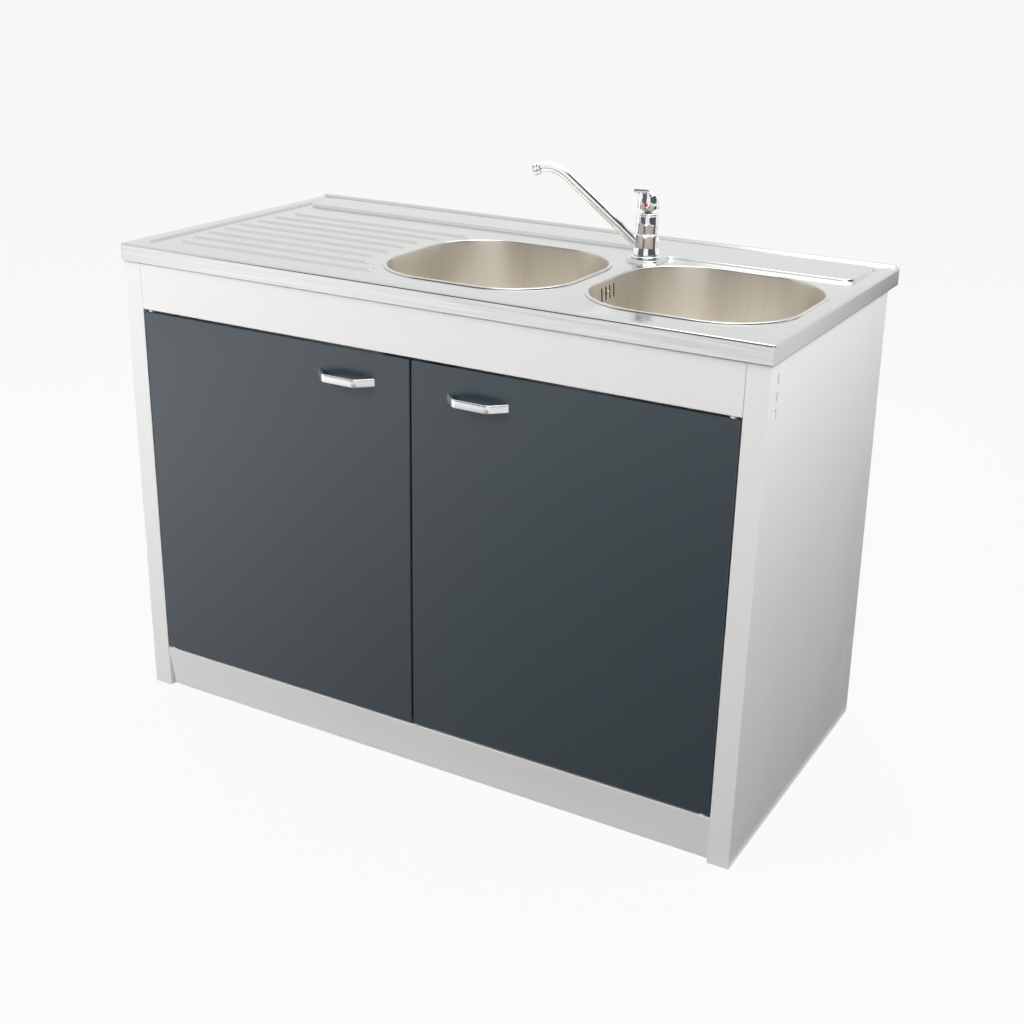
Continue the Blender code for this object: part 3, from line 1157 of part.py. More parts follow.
def trap(nut_fit):
    """Bottle trap: nut, head with its side outlet, screwed cup, and the pipe to the wall."""
    place = (BOWL_RIGHT_X, BOWL_Y, 0)
    ring_nut("trap_nut", PIPE_NUT_RADIUS, nut_fit, PIPE_NUT_HEIGHT,
             (BOWL_RIGHT_X, BOWL_Y, TRAP_TOP + GAP + GAP))
    base = TRAP_TOP - TRAP_HEAD
    wall = TRAP_CUP_WALL
    bore = PIPE_RADIUS - PIPE_WALL
    head = [(bore, TRAP_TOP), (TRAP_RADIUS - wall, TRAP_TOP), (TRAP_RADIUS, TRAP_TOP - wall),
            (TRAP_RADIUS, base), (TRAP_RADIUS - wall, base), (TRAP_RADIUS - wall, TRAP_TOP - wall - wall),
            (bore, TRAP_TOP - wall - wall)]
    body = new_object("trap_body", revolved(head, 16), PIPE_WHITE, place)
    outlet_z = TRAP_TOP - TRAP_HEAD / 2
    spigot_end = TRAP_RADIUS + OUTLET_SPIGOT
    spigot = tube([(0, TRAP_RADIUS - wall * 2, outlet_z), (0, spigot_end, outlet_z)],
                  OUTLET_RADIUS, PIPE_SIDES)
    boolean(body, guide("trap_spigot", spigot, place), "UNION")
    through = tube([(0, TRAP_RADIUS - wall * 4, outlet_z), (0, spigot_end + OVERRUN, outlet_z)],
                   OUTLET_RADIUS - PIPE_WALL, PIPE_SIDES)
    boolean(body, guide("trap_spigot_bore", through, place))
    cup_top = base - GAP
    low = cup_top - TRAP_CUP_HEIGHT
    foot = TRAP_CUP_RADIUS * TRAP_CUP_BASE_SHARE
    waist = cup_top - TRAP_CUP_HEIGHT / 2
    cup = [(0, low), (foot, low), (TRAP_CUP_RADIUS, waist), (TRAP_CUP_RADIUS, cup_top),
           (TRAP_CUP_RADIUS - wall, cup_top), (TRAP_CUP_RADIUS - wall, waist), (foot - wall / 2, low + wall),
           (0, low + wall)]
    new_object("trap_cup", revolved(cup, 16), PIPE_WHITE, place)
    joint_y = BOWL_Y + spigot_end
    back = Matrix.Rotation(-math.pi / 2, 4, "X")
    outlet_fit = OUTLET_RADIUS / math.cos(math.pi / PIPE_SIDES) + GAP
    ring_nut("outlet_nut", PIPE_NUT_RADIUS - PIPE_WALL, outlet_fit, PIPE_NUT_HEIGHT,
             (BOWL_RIGHT_X, joint_y - PIPE_NUT_HEIGHT / 2, outlet_z), back)
    new_object("outlet_pipe", tube([(BOWL_RIGHT_X, joint_y + GAP, outlet_z),
                                    (BOWL_RIGHT_X, at_depth(OUTLET_END), outlet_z)],
                                   OUTLET_RADIUS, PIPE_SIDES, OUTLET_RADIUS - PIPE_WALL), PIPE_WHITE)


# Tap

def tap_body():
    """Base flange, then the column with its slim stem inside the spout's collar and its shank."""
    base = LEDGE_Z + GAP
    fit = TAP_SHANK_RADIUS + GAP
    edge = TAP_ROUNDING
    flange = [(fit, base), (TAP_FLANGE_RADIUS, base), (TAP_FLANGE_RADIUS, base + TAP_FLANGE_HEIGHT - edge),
              (TAP_FLANGE_RADIUS - edge, base + TAP_FLANGE_HEIGHT), (fit, base + TAP_FLANGE_HEIGHT)]
    place = (TAP_X, TAP_Y, 0)
    new_object("tap_flange", revolved(flange, 24), CHROME, place)
    foot = base + TAP_FLANGE_HEIGHT + GAP
    collar_top = LEDGE_Z + TAP_COLLAR_TOP + GAP
    shoulder = LEDGE_Z + TAP_SHOULDER
    column = [(0, LEDGE_Z - TAP_SHANK_LENGTH), (TAP_SHANK_RADIUS, LEDGE_Z - TAP_SHANK_LENGTH),
              (TAP_SHANK_RADIUS, foot), (TAP_STEM_RADIUS, foot), (TAP_STEM_RADIUS, collar_top),
              (TAP_BODY_RADIUS, collar_top), (TAP_BODY_RADIUS, shoulder - edge),
              (TAP_BODY_RADIUS - edge, shoulder), (0, shoulder)]
    new_object("tap_body", revolved(column, 24), CHROME, place)
    under = LEDGE_Z - TOP_SHEET - GAP
    washer = [(fit, under), (TAP_WASHER_RADIUS, under), (TAP_WASHER_RADIUS, under - TAP_WASHER),
              (fit, under - TAP_WASHER)]
    new_object("tap_washer", revolved(washer, 16), BLACK, place)
    nut_top = under - TAP_WASHER - GAP
    nut = prism([(TAP_NUT_RADIUS * math.cos(math.tau * i / TAP_NUT_SIDES),
                  TAP_NUT_RADIUS * math.sin(math.tau * i / TAP_NUT_SIDES)) for i in range(TAP_NUT_SIDES)],
                nut_top - TAP_NUT_HEIGHT, nut_top)
    made = new_object("tap_nut", nut, ZINC, place, smooth=False)
    bore = revolved([(0, nut_top - TAP_NUT_HEIGHT - OVERRUN), (fit, nut_top - TAP_NUT_HEIGHT - OVERRUN),
                     (fit, nut_top + GAP), (0, nut_top + GAP)], 24)
    boolean(made, guide("tap_nut_bore", bore, place))


def spout_path():
    """Points of the spout in its own plane, as (reach, height over the ledge)."""
    slope = math.radians(SPOUT_SLOPE_DEG)
    tip = math.radians(SPOUT_TIP_SLOPE_DEG)
    start = (TAP_COLLAR_RADIUS - SPOUT_RADIUS / 4, SPOUT_START)
    rise = SPOUT_PEAK - SPOUT_START
    knee = (start[0] + rise / math.tan(slope), SPOUT_PEAK)
    bend = (SPOUT_TIP_REACH, SPOUT_PEAK)
    end = (bend[0] + SPOUT_TIP_LENGTH * math.cos(tip), bend[1] - SPOUT_TIP_LENGTH * math.sin(tip))
    return start, knee, bend, end


def tap_spout():
    """Swivelling collar and S-shaped spout; its origin is on the tap's axis, at the ledge."""
    place = (TAP_X, TAP_Y, LEDGE_Z)
    foot = GAP + TAP_FLANGE_HEIGHT + GAP
    bore = TAP_STEM_RADIUS + TAP_COLLAR_FIT
    collar = [(bore, foot), (TAP_COLLAR_FOOT, foot), (TAP_COLLAR_RADIUS, foot + TAP_COLLAR_TOP * 0.3),
              (TAP_COLLAR_RADIUS, TAP_COLLAR_TOP - TAP_ROUNDING),
              (TAP_COLLAR_RADIUS - TAP_ROUNDING, TAP_COLLAR_TOP), (bore, TAP_COLLAR_TOP)]
    made = new_object("tap_spout", revolved(collar, 24), CHROME, place)
    angle = math.radians(SPOUT_ANGLE_DEG)
    start, knee, bend, end = spout_path()
    points = [(reach * math.cos(angle), reach * math.sin(angle), height)
              for reach, height in (start, knee, bend, end)]
    path = rounded(points, [0, SPOUT_BEND, SPOUT_TIP_BEND, 0], steps=5, closed=False)
    pipe = guide("spout_pipe", tube(path, SPOUT_RADIUS, SPOUT_SIDES), place)
    boolean(made, pipe, "UNION")
    clear = revolved([(0, foot - OVERRUN), (bore, foot - OVERRUN), (bore, TAP_COLLAR_TOP + OVERRUN),
                      (0, TAP_COLLAR_TOP + OVERRUN)], 24)
    boolean(made, guide("spout_collar_bore", clear, place))
    tap_aerator(place, angle, end)


def tap_aerator(place, angle, end):
    """Screwed ring over the spout's end with the jet's face inside."""
    tip = math.radians(SPOUT_TIP_SLOPE_DEG)
    fit = SPOUT_RADIUS + GAP + GAP
    web = AERATOR_SOCKET
    floor = web + AERATOR_WEB
    rim = AERATOR_RADIUS - TAP_ROUNDING
    profile = [(0, web), (fit, web), (fit, 0), (rim, 0), (AERATOR_RADIUS, TAP_ROUNDING),
               (AERATOR_RADIUS, AERATOR_LENGTH - TAP_ROUNDING), (rim, AERATOR_LENGTH),
               (fit, AERATOR_LENGTH), (fit, floor), (0, floor)]
    # the profile's axis turns from +Z to the way the spout's end points
    aim = (Matrix.Rotation(angle, 4, "Z") @ Matrix.Rotation(math.pi / 2 + tip, 4, "Y"))
    along = aim @ Vector((0, 0, 1))
    tip_point = Vector((end[0] * math.cos(angle), end[0] * math.sin(angle), end[1]))
    base = Vector(place) + tip_point - along * (AERATOR_SOCKET - GAP)
    new_object("tap_aerator", turned_by(revolved(profile, 16), aim), CHROME, base)


def tap_lever():
    """Ball cartridge, and the cap with its paddle; both have their origin at the pivot."""
    turn = math.radians(LEVER_ANGLE_DEG)
    pivot = (TAP_X, TAP_Y, LEDGE_Z + LEVER_PIVOT)
    seat = TAP_SHOULDER - LEVER_PIVOT + GAP
    flat = math.asin(seat / CARTRIDGE_RADIUS)
    ball = [(0, seat)]
    rounds = 6
    for i in range(rounds):
        angle = flat + (math.pi / 2 - flat) * i / rounds
        ball.append((CARTRIDGE_RADIUS * math.cos(angle), CARTRIDGE_RADIUS * math.sin(angle)))
    ball.append((0, CARTRIDGE_RADIUS))
    new_object("tap_cartridge", revolved(ball, 16), NYLON, pivot)
    room = CARTRIDGE_RADIUS + LEVER_CAVITY_FIT
    top, side = LEVER_CAP_TOP, LEVER_CAP_SIDE
    cap = [(0, -LEVER_CAP_DROP), (LEVER_CAP_FOOT, -LEVER_CAP_DROP),
           (LEVER_CAP_RADIUS, TAP_ROUNDING - LEVER_CAP_DROP), (LEVER_CAP_RADIUS, side)]
    cavity = [(0, -LEVER_CAP_DROP - OVERRUN), (room, -LEVER_CAP_DROP - OVERRUN), (room, 0)]
    for share in (30, 60):
        angle = math.radians(share)
        cap.append((LEVER_CAP_RADIUS * math.cos(angle), side + (top - side) * math.sin(angle)))
        cavity.append((room * math.cos(angle), room * math.sin(angle)))
    cap.append((0, top))
    cavity.append((0, room))
    made = new_object("tap_lever", turned_by(revolved(cap, 24), Matrix.Rotation(turn, 4, "Z")), CHROME,
                      pivot)
    boolean(made, guide("lever_paddle", turned_by(lever_paddle(), Matrix.Rotation(turn, 4, "Z")), pivot),
            "UNION")
    boolean(made, guide("lever_cavity", revolved(cavity, 16), pivot))
    hole = index_form(INDEX_RADIUS + GAP, GAP)
    boolean(made, guide("lever_index_hole", turned_by(hole, Matrix.Rotation(turn, 4, "Z")), pivot))
    dot = index_form(INDEX_RADIUS, 0)
    new_object("tap_index", turned_by(dot, Matrix.Rotation(turn, 4, "Z")), RED, pivot)


def lever_paddle():
    """Tapered paddle from the cap's top, forwards and up, straight ahead before it is turned."""
    slope = math.atan2(LEVER_END_HEIGHT - LEVER_CAP_TOP / 2, LEVER_REACH)
    rings = []
    for share, width_share in ((0.0, 0.0), (0.35, 0.05), (0.7, 0.55), (0.93, 1.0), (1.0, 0.9)):
        reach = LEVER_CAP_RADIUS * 0.3 + (LEVER_REACH - LEVER_CAP_RADIUS * 0.3) * share
        height = LEVER_END_HEIGHT - (LEVER_REACH - reach) * math.tan(slope)
        width = LEVER_ROOT_WIDTH + (LEVER_END_WIDTH - LEVER_ROOT_WIDTH) * width_share
        thick = LEVER_ROOT_THICK + (LEVER_END_THICK - LEVER_ROOT_THICK) * share
        half, corner = width / 2, thick / 3
        low, shoulder = height - thick / 2, height + corner - thick / 2
        rings.append([(-half, -reach, shoulder), (corner - half, -reach, low),
                      (half - corner, -reach, low), (half, -reach, shoulder),
                      (half, -reach, height), (half - corner, -reach, height + thick / 2),
                      (corner - half, -reach, height + thick / 2), (-half, -reach, height)])
    return lofted(rings)


def index_form(radius, grow):
    """A round button let into the front of the cap."""
    start = LEVER_CAP_RADIUS * math.cos(math.pi / 24) + INDEX_RISE
    disc = revolved([(0, -start - grow * 2), (radius, -start - grow * 2),
                     (radius, INDEX_THICK - start + grow), (0, INDEX_THICK - start + grow)], 12)
    return turned_by(disc, Matrix.Rotation(-math.pi / 2, 4, "X"))


# The whole cabinet

for side_sign, side_word in SIDES:
    side_panel(side_sign, side_word)
    door(side_sign, side_word)
    handle(side_sign, side_word)
    catch(side_sign, side_word)
front_rail()
rear_rail()
plinth()
shelves()
shelf_pins()
door_pivots()
handle_screws()
sink_top()
for bowl_x, bowl_word in ((BOWL_LEFT_X, "left"), (BOWL_RIGHT_X, "right")):
    bowl(bowl_x, bowl_word)
    waste(bowl_x, bowl_word)
    strainer(bowl_x, bowl_word)
overflow()
waste_pipes()
tap_body()
tap_spout()
tap_lever()
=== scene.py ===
"""Looks of the steel sink cabinet: fine surfaces, finishes, light and camera.

Metres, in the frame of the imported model: +Z up, the doors face -Y, the origin on the floor.
Depths are measured from the front edge of the sink top; at_depth() turns them into Y.
"""
import json
from math import asin, atan2, cos, hypot, pi, radians, sin, sqrt, tan, tau

import bmesh
import bpy
import numpy as np
from mathutils import Matrix, Vector
from mathutils.geometry import delaunay_2d_cdt

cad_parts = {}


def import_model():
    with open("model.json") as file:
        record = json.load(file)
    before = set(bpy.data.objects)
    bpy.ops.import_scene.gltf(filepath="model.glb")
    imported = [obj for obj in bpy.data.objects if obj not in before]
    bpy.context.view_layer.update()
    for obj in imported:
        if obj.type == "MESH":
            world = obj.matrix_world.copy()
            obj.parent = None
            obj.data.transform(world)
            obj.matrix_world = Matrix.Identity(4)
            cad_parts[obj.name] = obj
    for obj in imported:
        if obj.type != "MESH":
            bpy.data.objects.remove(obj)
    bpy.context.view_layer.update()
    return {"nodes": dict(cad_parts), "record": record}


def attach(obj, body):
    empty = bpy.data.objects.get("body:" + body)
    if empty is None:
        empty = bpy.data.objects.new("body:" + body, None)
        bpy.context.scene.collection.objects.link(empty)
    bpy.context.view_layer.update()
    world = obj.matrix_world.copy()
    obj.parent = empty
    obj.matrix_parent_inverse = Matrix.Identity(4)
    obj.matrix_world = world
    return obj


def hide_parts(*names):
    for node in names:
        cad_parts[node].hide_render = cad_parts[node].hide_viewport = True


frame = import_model()

# Sizes, as in the solids
MILLIMETRE = 0.001
GAP = 0.0003
HALF_TOP, TOP_DEPTH, TOP_HEIGHT, SHEET = 0.600, 0.600, 0.857, 0.001
FRONT_Y = -0.289
SKIRT, EDGE_RADIUS, CORNER_RADIUS = 0.030, 0.003, 0.0042
BORDER, FIELD_RADIUS, FIELD_SLOPE, FIELD_Z = 0.028, 0.032, 0.003, 0.854
LEDGE_Z, LEDGE_SLOPE, LEDGE_RADIUS = 0.859, 0.004, 0.020
LEDGE_FRONT, LEDGE_FRONT_RIGHT, LEDGE_BACK, LEDGE_END = 0.492, 0.445, 0.568, 0.564
TAP_X, TAP_DEPTH, TAP_MARGIN, TAP_HOLE = 0.212, 0.412, 0.028, 0.0175
LIP_FRONT, LIP_BACK, LIP_RISE, LIP_SLOPE = 0.5835, 0.5965, 0.004, 0.0035
RIB_COUNT, RIB_PITCH, RIB_FIRST, RIB_WIDTH, RIB_RISE = 8, 0.046, 0.080, 0.014, 0.0026
RIB_END, RIB_BOW, RIB_MARGIN = 0.046, 0.022, 0.030
BOWL_WIDTH, BOWL_LENGTH, BOWL_RADIUS, BOWL_DEPTH = 0.338, 0.334, 0.120, 0.150
BOWL_TAPER, BOWL_FILLET, BOWL_FALL, BOWL_MIDDLE_DEPTH = 0.009, 0.030, 0.003, 0.246
BOWLS = ((0.018, "left"), (0.396, "right"))
FLOOR_Z = FIELD_Z - BOWL_DEPTH
WASTE_Z = FLOOR_Z - BOWL_FALL
WASTE_END = WASTE_Z - 0.078
NECK, SHANK, PIPE, PIPE_BORE, RUN_Z, OUTLET_DROP, WALL_PIPE, WALL_BORE = (
    0.0435, 0.0140, 0.020, 0.018, 0.566, 0.028, 0.016, 0.014)
HANDLE_X, HANDLE_Z, SCREW_REACH = 0.125, 0.6915, 0.048
PIVOT_X, TRAP_TOP, CAP_RADIUS = 0.545, 0.522, 0.0190
SIDES = ((-1, "left"), (1, "right"))


def at_depth(depth):
    return FRONT_Y + depth


BOWL_Y, TAP_Y = at_depth(BOWL_MIDDLE_DEPTH), at_depth(TAP_DEPTH)
OVERFLOW_Y, OVERFLOW_Z = at_depth(0.237), FIELD_Z - 0.020
OVERFLOW_BACK = BOWLS[1][0] - BOWL_WIDTH / 2 - SHEET - GAP


# Finishes

def graph(made):
    """Nodes and links of a fresh material or world."""
    made.use_nodes = True
    return made.node_tree.nodes, made.node_tree.links


def fill(node, values):
    """Sets the plain values of a shader node's inputs."""
    for name, value in values.items():
        node.inputs[name].default_value = value


def finish(name, color, roughness, metallic=0.0, shade=0.03, rough_spread=0.04, stretch=(1, 1, 1),
           scale=12.0, grain=900.0, bump=0.0, coat=0.0, coat_rough=0.06, tint=(1.0, 1.0, 1.0)):
    """A procedural finish: slow changes of shade and gloss, and a fine relief."""
    made = bpy.data.materials.new(name)
    nodes, links = graph(made)
    shader = nodes["Principled BSDF"]
    fill(shader, {"Metallic": metallic, "Coat Weight": coat, "Coat Roughness": coat_rough})
    place = nodes.new("ShaderNodeTexCoord")
    spread = nodes.new("ShaderNodeMapping")
    fill(spread, {"Scale": stretch})
    links.new(place.outputs["Object"], spread.inputs["Vector"])

    def noise(size, detail):
        made_noise = nodes.new("ShaderNodeTexNoise")
        fill(made_noise, {"Scale": size, "Detail": detail})
        links.new(spread.outputs["Vector"], made_noise.inputs["Vector"])
        return made_noise.outputs["Fac"]

    def ranged(source, low, high):
        step = nodes.new("ShaderNodeMapRange")
        fill(step, {"From Min": 0.3, "From Max": 0.7, "To Min": low, "To Max": high})
        links.new(source, step.inputs["Value"])
        return step.outputs["Result"]

    mix = nodes.new("ShaderNodeMix")
    mix.data_type = "RGBA"
    fill(mix, {"A": (*[max(0.0, c * (1 - shade)) for c in color], 1),
               "B": (*[min(1.0, c * (1 + shade) * t) for c, t in zip(color, tint)], 1)})
    slow = noise(scale, 3)
    links.new(ranged(slow, 0.0, 1.0), mix.inputs["Factor"])
    links.new(mix.outputs["Result"], shader.inputs["Base Color"])
    links.new(ranged(noise(scale * 2.3, 2), roughness - rough_spread, roughness + rough_spread),
              shader.inputs["Roughness"])
    if bump:
        relief = nodes.new("ShaderNodeBump")
        fill(relief, {"Strength": 1.0, "Distance": bump})
        links.new(noise(grain, 1), relief.inputs["Height"])
        links.new(relief.outputs["Normal"], shader.inputs["Normal"])
    return made


METAL = {"metallic": 1.0}
FINISHES = {
    "white_lacquer": ((0.84, 0.845, 0.85), 0.24, {"shade": 0.008, "rough_spread": 0.03, "scale": 3.0,
                                                  "grain": 420, "bump": 0.000012}),
    "slate_lacquer": ((0.027, 0.043, 0.055), 0.33, {"rough_spread": 0.02, "scale": 2.5, "grain": 500,
                                                    "bump": 0.000012, "coat": 0.5, "coat_rough": 0.28}),
    "stainless": ((0.62, 0.62, 0.615), 0.17, METAL | {"stretch": (0.02, 1, 1), "scale": 160,
                                                      "bump": 0.000002}),
    "satin_stainless": ((0.81, 0.775, 0.715), 0.40, METAL | {
        "rough_spread": 0.05, "stretch": (1, 1, 0.05), "scale": 60, "grain": 700, "bump": 0.000004,
        "tint": (1.0, 0.99, 0.97)}),
    "chrome": ((0.88, 0.89, 0.90), 0.05, METAL | {"shade": 0.01, "rough_spread": 0.015, "scale": 40}),
    "satin_chrome": ((0.80, 0.80, 0.80), 0.24, METAL | {
        "shade": 0.02, "rough_spread": 0.03, "scale": 80, "stretch": (0.1, 1, 1), "grain": 1200,
        "bump": 0.000002}),
    "zinc_plated": ((0.62, 0.62, 0.60), 0.35, METAL | {"shade": 0.08, "rough_spread": 0.06, "scale": 150,
                                                       "tint": (1.0, 0.99, 0.93)}),
    "white_nylon": ((0.80, 0.80, 0.78), 0.45, {"shade": 0.02, "scale": 90, "grain": 1500, "bump": 0.00001}),
    "white_pipe": ((0.78, 0.78, 0.76), 0.38, {"shade": 0.02, "scale": 30, "grain": 800, "bump": 0.00001}),
    "black_rubber": ((0.025, 0.025, 0.025), 0.62, {"shade": 0.15, "scale": 120, "grain": 1400,
                                                   "bump": 0.00002}),
    "magnet_brown": ((0.14, 0.085, 0.055), 0.5, {"shade": 0.12, "scale": 120, "bump": 0.00002}),
    "index_red": ((0.60, 0.02, 0.04), 0.25, {"shade": 0.05, "rough_spread": 0.03, "scale": 200})}
LOOK = {slot: finish(f"{slot}_look", color, roughness, **more)
        for slot, (color, roughness, more) in FINISHES.items()}
FLANGE = finish("waste_steel_look", (0.72, 0.72, 0.71), 0.18, 1.0, scale=60)
SLOT = {row["node"]: row["material_slot"] for row in frame["record"]["subparts"]}
BODY = {node: body for body, members in frame["record"]["behaviour"]["bodies"].items() for node in members}

for node_name, node_object in frame["nodes"].items():
    for number in range(len(node_object.material_slots)):
        node_object.material_slots[number].material = LOOK[SLOT[node_name]]


# Building blocks

def outward(shape):
    """Turns the faces of a closed shape outwards."""
    bmesh.ops.recalc_face_normals(shape, faces=shape.faces)
    if shape.calc_volume(signed=True) < 0:
        bmesh.ops.reverse_faces(shape, faces=shape.faces)


def meshed(name, shape):
    mesh = bpy.data.meshes.new(name)
    shape.to_mesh(mesh)
    shape.free()
    return mesh


def linked(name, data):
    made = bpy.data.objects.new(name, data)
    bpy.context.scene.collection.objects.link(made)
    return made


def placed(name, node, shape, look=None, angle=35.0, recalc=True, flats=False):
    """A finished piece from a bmesh in the model's own frame, which stands for one node."""
    if recalc:
        outward(shape)
    mesh = meshed(name, shape)
    mesh.materials.append(look or LOOK[SLOT[node]])
    mesh.shade_smooth()
    mesh.set_sharp_from_angle(angle=radians(angle))
    made = linked(name, mesh)
    if flats:
        level = made.modifiers.new("flat_faces", "WEIGHTED_NORMAL")
        level.keep_sharp = True
        level.weight = 100
    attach(made, BODY[node])
    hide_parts(node)
    return made


def painted(made, slot, chosen):
    """Gives the faces that chosen() picks a second finish."""
    made.data.materials.append(LOOK[slot])
    for face in made.data.polygons:
        face.material_index = int(chosen(face))


def joined(*shapes):
    whole = bmesh.new()
    for shape in shapes:
        moved = {corner: whole.verts.new(corner.co) for corner in shape.verts}
        for face in shape.faces:
            whole.faces.new([moved[corner] for corner in face.verts])
        shape.free()
    return whole


def moved_by(shape, matrix):
    bmesh.ops.transform(shape, matrix=matrix, verts=shape.verts)
    return shape


def shift(x, y, z):
    return Matrix.Translation((x, y, z))


def lofted(rings, closed=False):
    """Rings of equally many points skinned: capped, or closed on itself."""
    made = bmesh.new()
    rows = [[made.verts.new(point) for point in ring] for ring in rings]
    count = len(rows[0])
    pairs = list(zip(rows, rows[1:])) + ([(rows[-1], rows[0])] if closed else [])
    for first, second in pairs:
        for i in range(count):
            j = (i + 1) % count
            made.faces.new((first[i], first[j], second[j], second[i]))
    if not closed:
        made.faces.new(list(reversed(rows[0])))
        made.faces.new(rows[-1])
    return made


def circle(radius, count):
    return [(radius * cos(tau * i / count), radius * sin(tau * i / count)) for i in range(count)]


def revolved(profile, sides, flutes=0, flute=0.0):
    """A closed (radius, height) profile turned about Z; the widest points may carry flutes."""
    widest = max(radius for radius, _ in profile)
    made = bmesh.new()
    columns = []
    for radius, height in profile:
        if radius <= 0:
            columns.append([made.verts.new((0, 0, height))] * sides)
            continue
        ring = []
        for i in range(sides):
            angle = tau * i / sides
            cut = flute if flutes and radius > widest * 0.97 and sin(flutes * angle) < -0.2 else 0.0
            ring.append(made.verts.new(((radius - cut) * cos(angle), (radius - cut) * sin(angle), height)))
        columns.append(ring)
    for k in range(len(profile)):
        n = (k + 1) % len(profile)
        if profile[k][0] <= 0 and profile[n][0] <= 0:
            continue
        for i in range(sides):
            j = (i + 1) % sides
            corners = [columns[k][i], columns[k][j], columns[n][j], columns[n][i]]
            made.faces.new(list(dict.fromkeys(corners)))
    return made


def rod(radius, low, high, sides):
    return revolved([(0, low), (radius, low), (radius, high), (0, high)], sides)


def rectangle(x0, x1, y0, y1):
    return [(x0, y0), (x1, y0), (x1, y1), (x0, y1)]


def corner_arcs(points, radii, closed=True):
    """For each corner of a polyline: first and last point of its arc and the arc's middle."""
    corners = [Vector(point) for point in points]
    arcs = []
    for i, corner in enumerate(corners):
        radius = radii[i] if isinstance(radii, (list, tuple)) else radii
        if radius <= 0 or (not closed and i in (0, len(corners) - 1)):
            arcs.append((corner, corner, None))
            continue
        before = (corners[i - 1] - corner).normalized()
        after = (corners[(i + 1) % len(corners)] - corner).normalized()
        half = before.angle(after) / 2
        reach = radius / tan(half)
        middle = corner + (before + after).normalized() * (radius / sin(half))
        arcs.append((corner + before * reach, corner + after * reach, middle))
    return arcs


def rounded(points, radii, steps, closed=True):
    out = []
    for first, last, middle in corner_arcs(points, radii, closed):
        if middle is None:
            out.append(first.copy())
            continue
        a, b = first - middle, last - middle
        sweep = a.angle(b)
        for step in range(steps + 1):
            t = step / steps
            out.append(middle + (a * sin((1 - t) * sweep) + b * sin(t * sweep)) / sin(sweep))
    return out


def lathe(points, radii, sides, steps=3, flutes=0, flute=0.0):
    """A revolved profile whose corners are arcs."""
    return revolved([tuple(point) for point in rounded(points, radii, steps)], sides, flutes, flute)


def tube(points, radius, sides, bore=0.0):
    path = [Vector(point) for point in points]
    ends = len(path) - 1
    tangents = [(path[min(i + 1, ends)] - path[max(i - 1, 0)]).normalized() for i in range(ends + 1)]
    side = tangents[0].orthogonal().normalized()
    frames = []
    for tangent in tangents:
        side = (side - tangent * side.dot(tangent)).normalized()
        frames.append((side.copy(), tangent.cross(side)))

    def rings(size):
        return [[point + (u * x + v * y) * size for x, y in circle(1, sides)]
                for point, (u, v) in zip(path, frames)]

    if bore:
        return lofted(rings(radius) + rings(bore)[::-1], closed=True)
    return lofted(rings(radius))


def block(low, high):
    made = bmesh.new()
    bmesh.ops.create_cube(made, size=1)
    for corner in made.verts:
        corner.co = Vector([(a + b) / 2 + c * (b - a) for a, b, c in zip(low, high, corner.co)])
    return made


def carved(shape, cutter, operation="DIFFERENCE"):
    """One bmesh cut from, or added to, another; both are used up."""
    objects = []
    for name, data in (("carved", shape), ("cutter", cutter)):
        outward(data)
        objects.append(linked(name, meshed(name, data)))
    step = objects[0].modifiers.new("cut", "BOOLEAN")
    step.operation, step.solver, step.object = operation, "MANIFOLD", objects[1]
    shown = objects[0].evaluated_get(bpy.context.evaluated_depsgraph_get())
    out = bmesh.new()
    out.from_mesh(shown.to_mesh())
    for item in objects:
        bpy.data.objects.remove(item, do_unlink=True)
    return out


def turned_to(axis, place):
    """Turns +Z to an axis and moves to a place."""
    return shift(*place) @ Vector(axis).to_track_quat("Z", "Y").to_matrix().to_4x4()


def turned(name, node, points, radii, sides, matrix, steps=3):
    """A finished piece from the lathe, moved into place."""
    placed(name, node, moved_by(lathe(points, radii, sides, steps), matrix))


# Pressed sink top

def inside(points, loop):
    """Which points lie inside a closed loop."""
    within = np.zeros(len(points), bool)
    for (ax, ay), (bx, by) in zip(loop, loop[1:] + loop[:1]):
        if ay == by:
            continue
        crosses = (ay > points[:, 1]) != (by > points[:, 1])
        within ^= crosses & (points[:, 0] < (bx - ax) * (points[:, 1] - ay) / (by - ay) + ax)
    return within


def outline_distance(points, corners, radii):
    """Signed distances to an outline of straight lines and arcs, negative inside."""
    arcs = corner_arcs(corners, radii)
    best = np.full(len(points), 1e9)
    for i, (first, last, middle) in enumerate(arcs):
        following = arcs[(i + 1) % len(arcs)][0]
        a, along = np.array(last[:2]), np.array((following - last)[:2])
        share = np.clip((points - a) @ along / (along @ along), 0, 1)
        best = np.minimum(best, np.linalg.norm(points - a - share[:, None] * along, axis=1))
        arm = np.array((first + last - 2 * middle)[:2])
        arm /= np.linalg.norm(arm)
        away = points - np.array(middle[:2])
        reach = np.linalg.norm(away, axis=1)
        limit = cos((first - middle).angle(last - middle) / 2)
        within = away @ arm >= reach * limit
        radius = (first - middle).length
        best = np.where(within, np.minimum(best, np.abs(reach - radius)), best)
    loop = [tuple(point[:2]) for point in rounded(corners, radii, 24)]
    return np.where(inside(points, loop), -best, best)


def field_corners(grow=0.0):
    x = HALF_TOP - BORDER + grow
    return rectangle(-x, x, at_depth(BORDER) - grow, at_depth(TOP_DEPTH - BORDER) + grow)


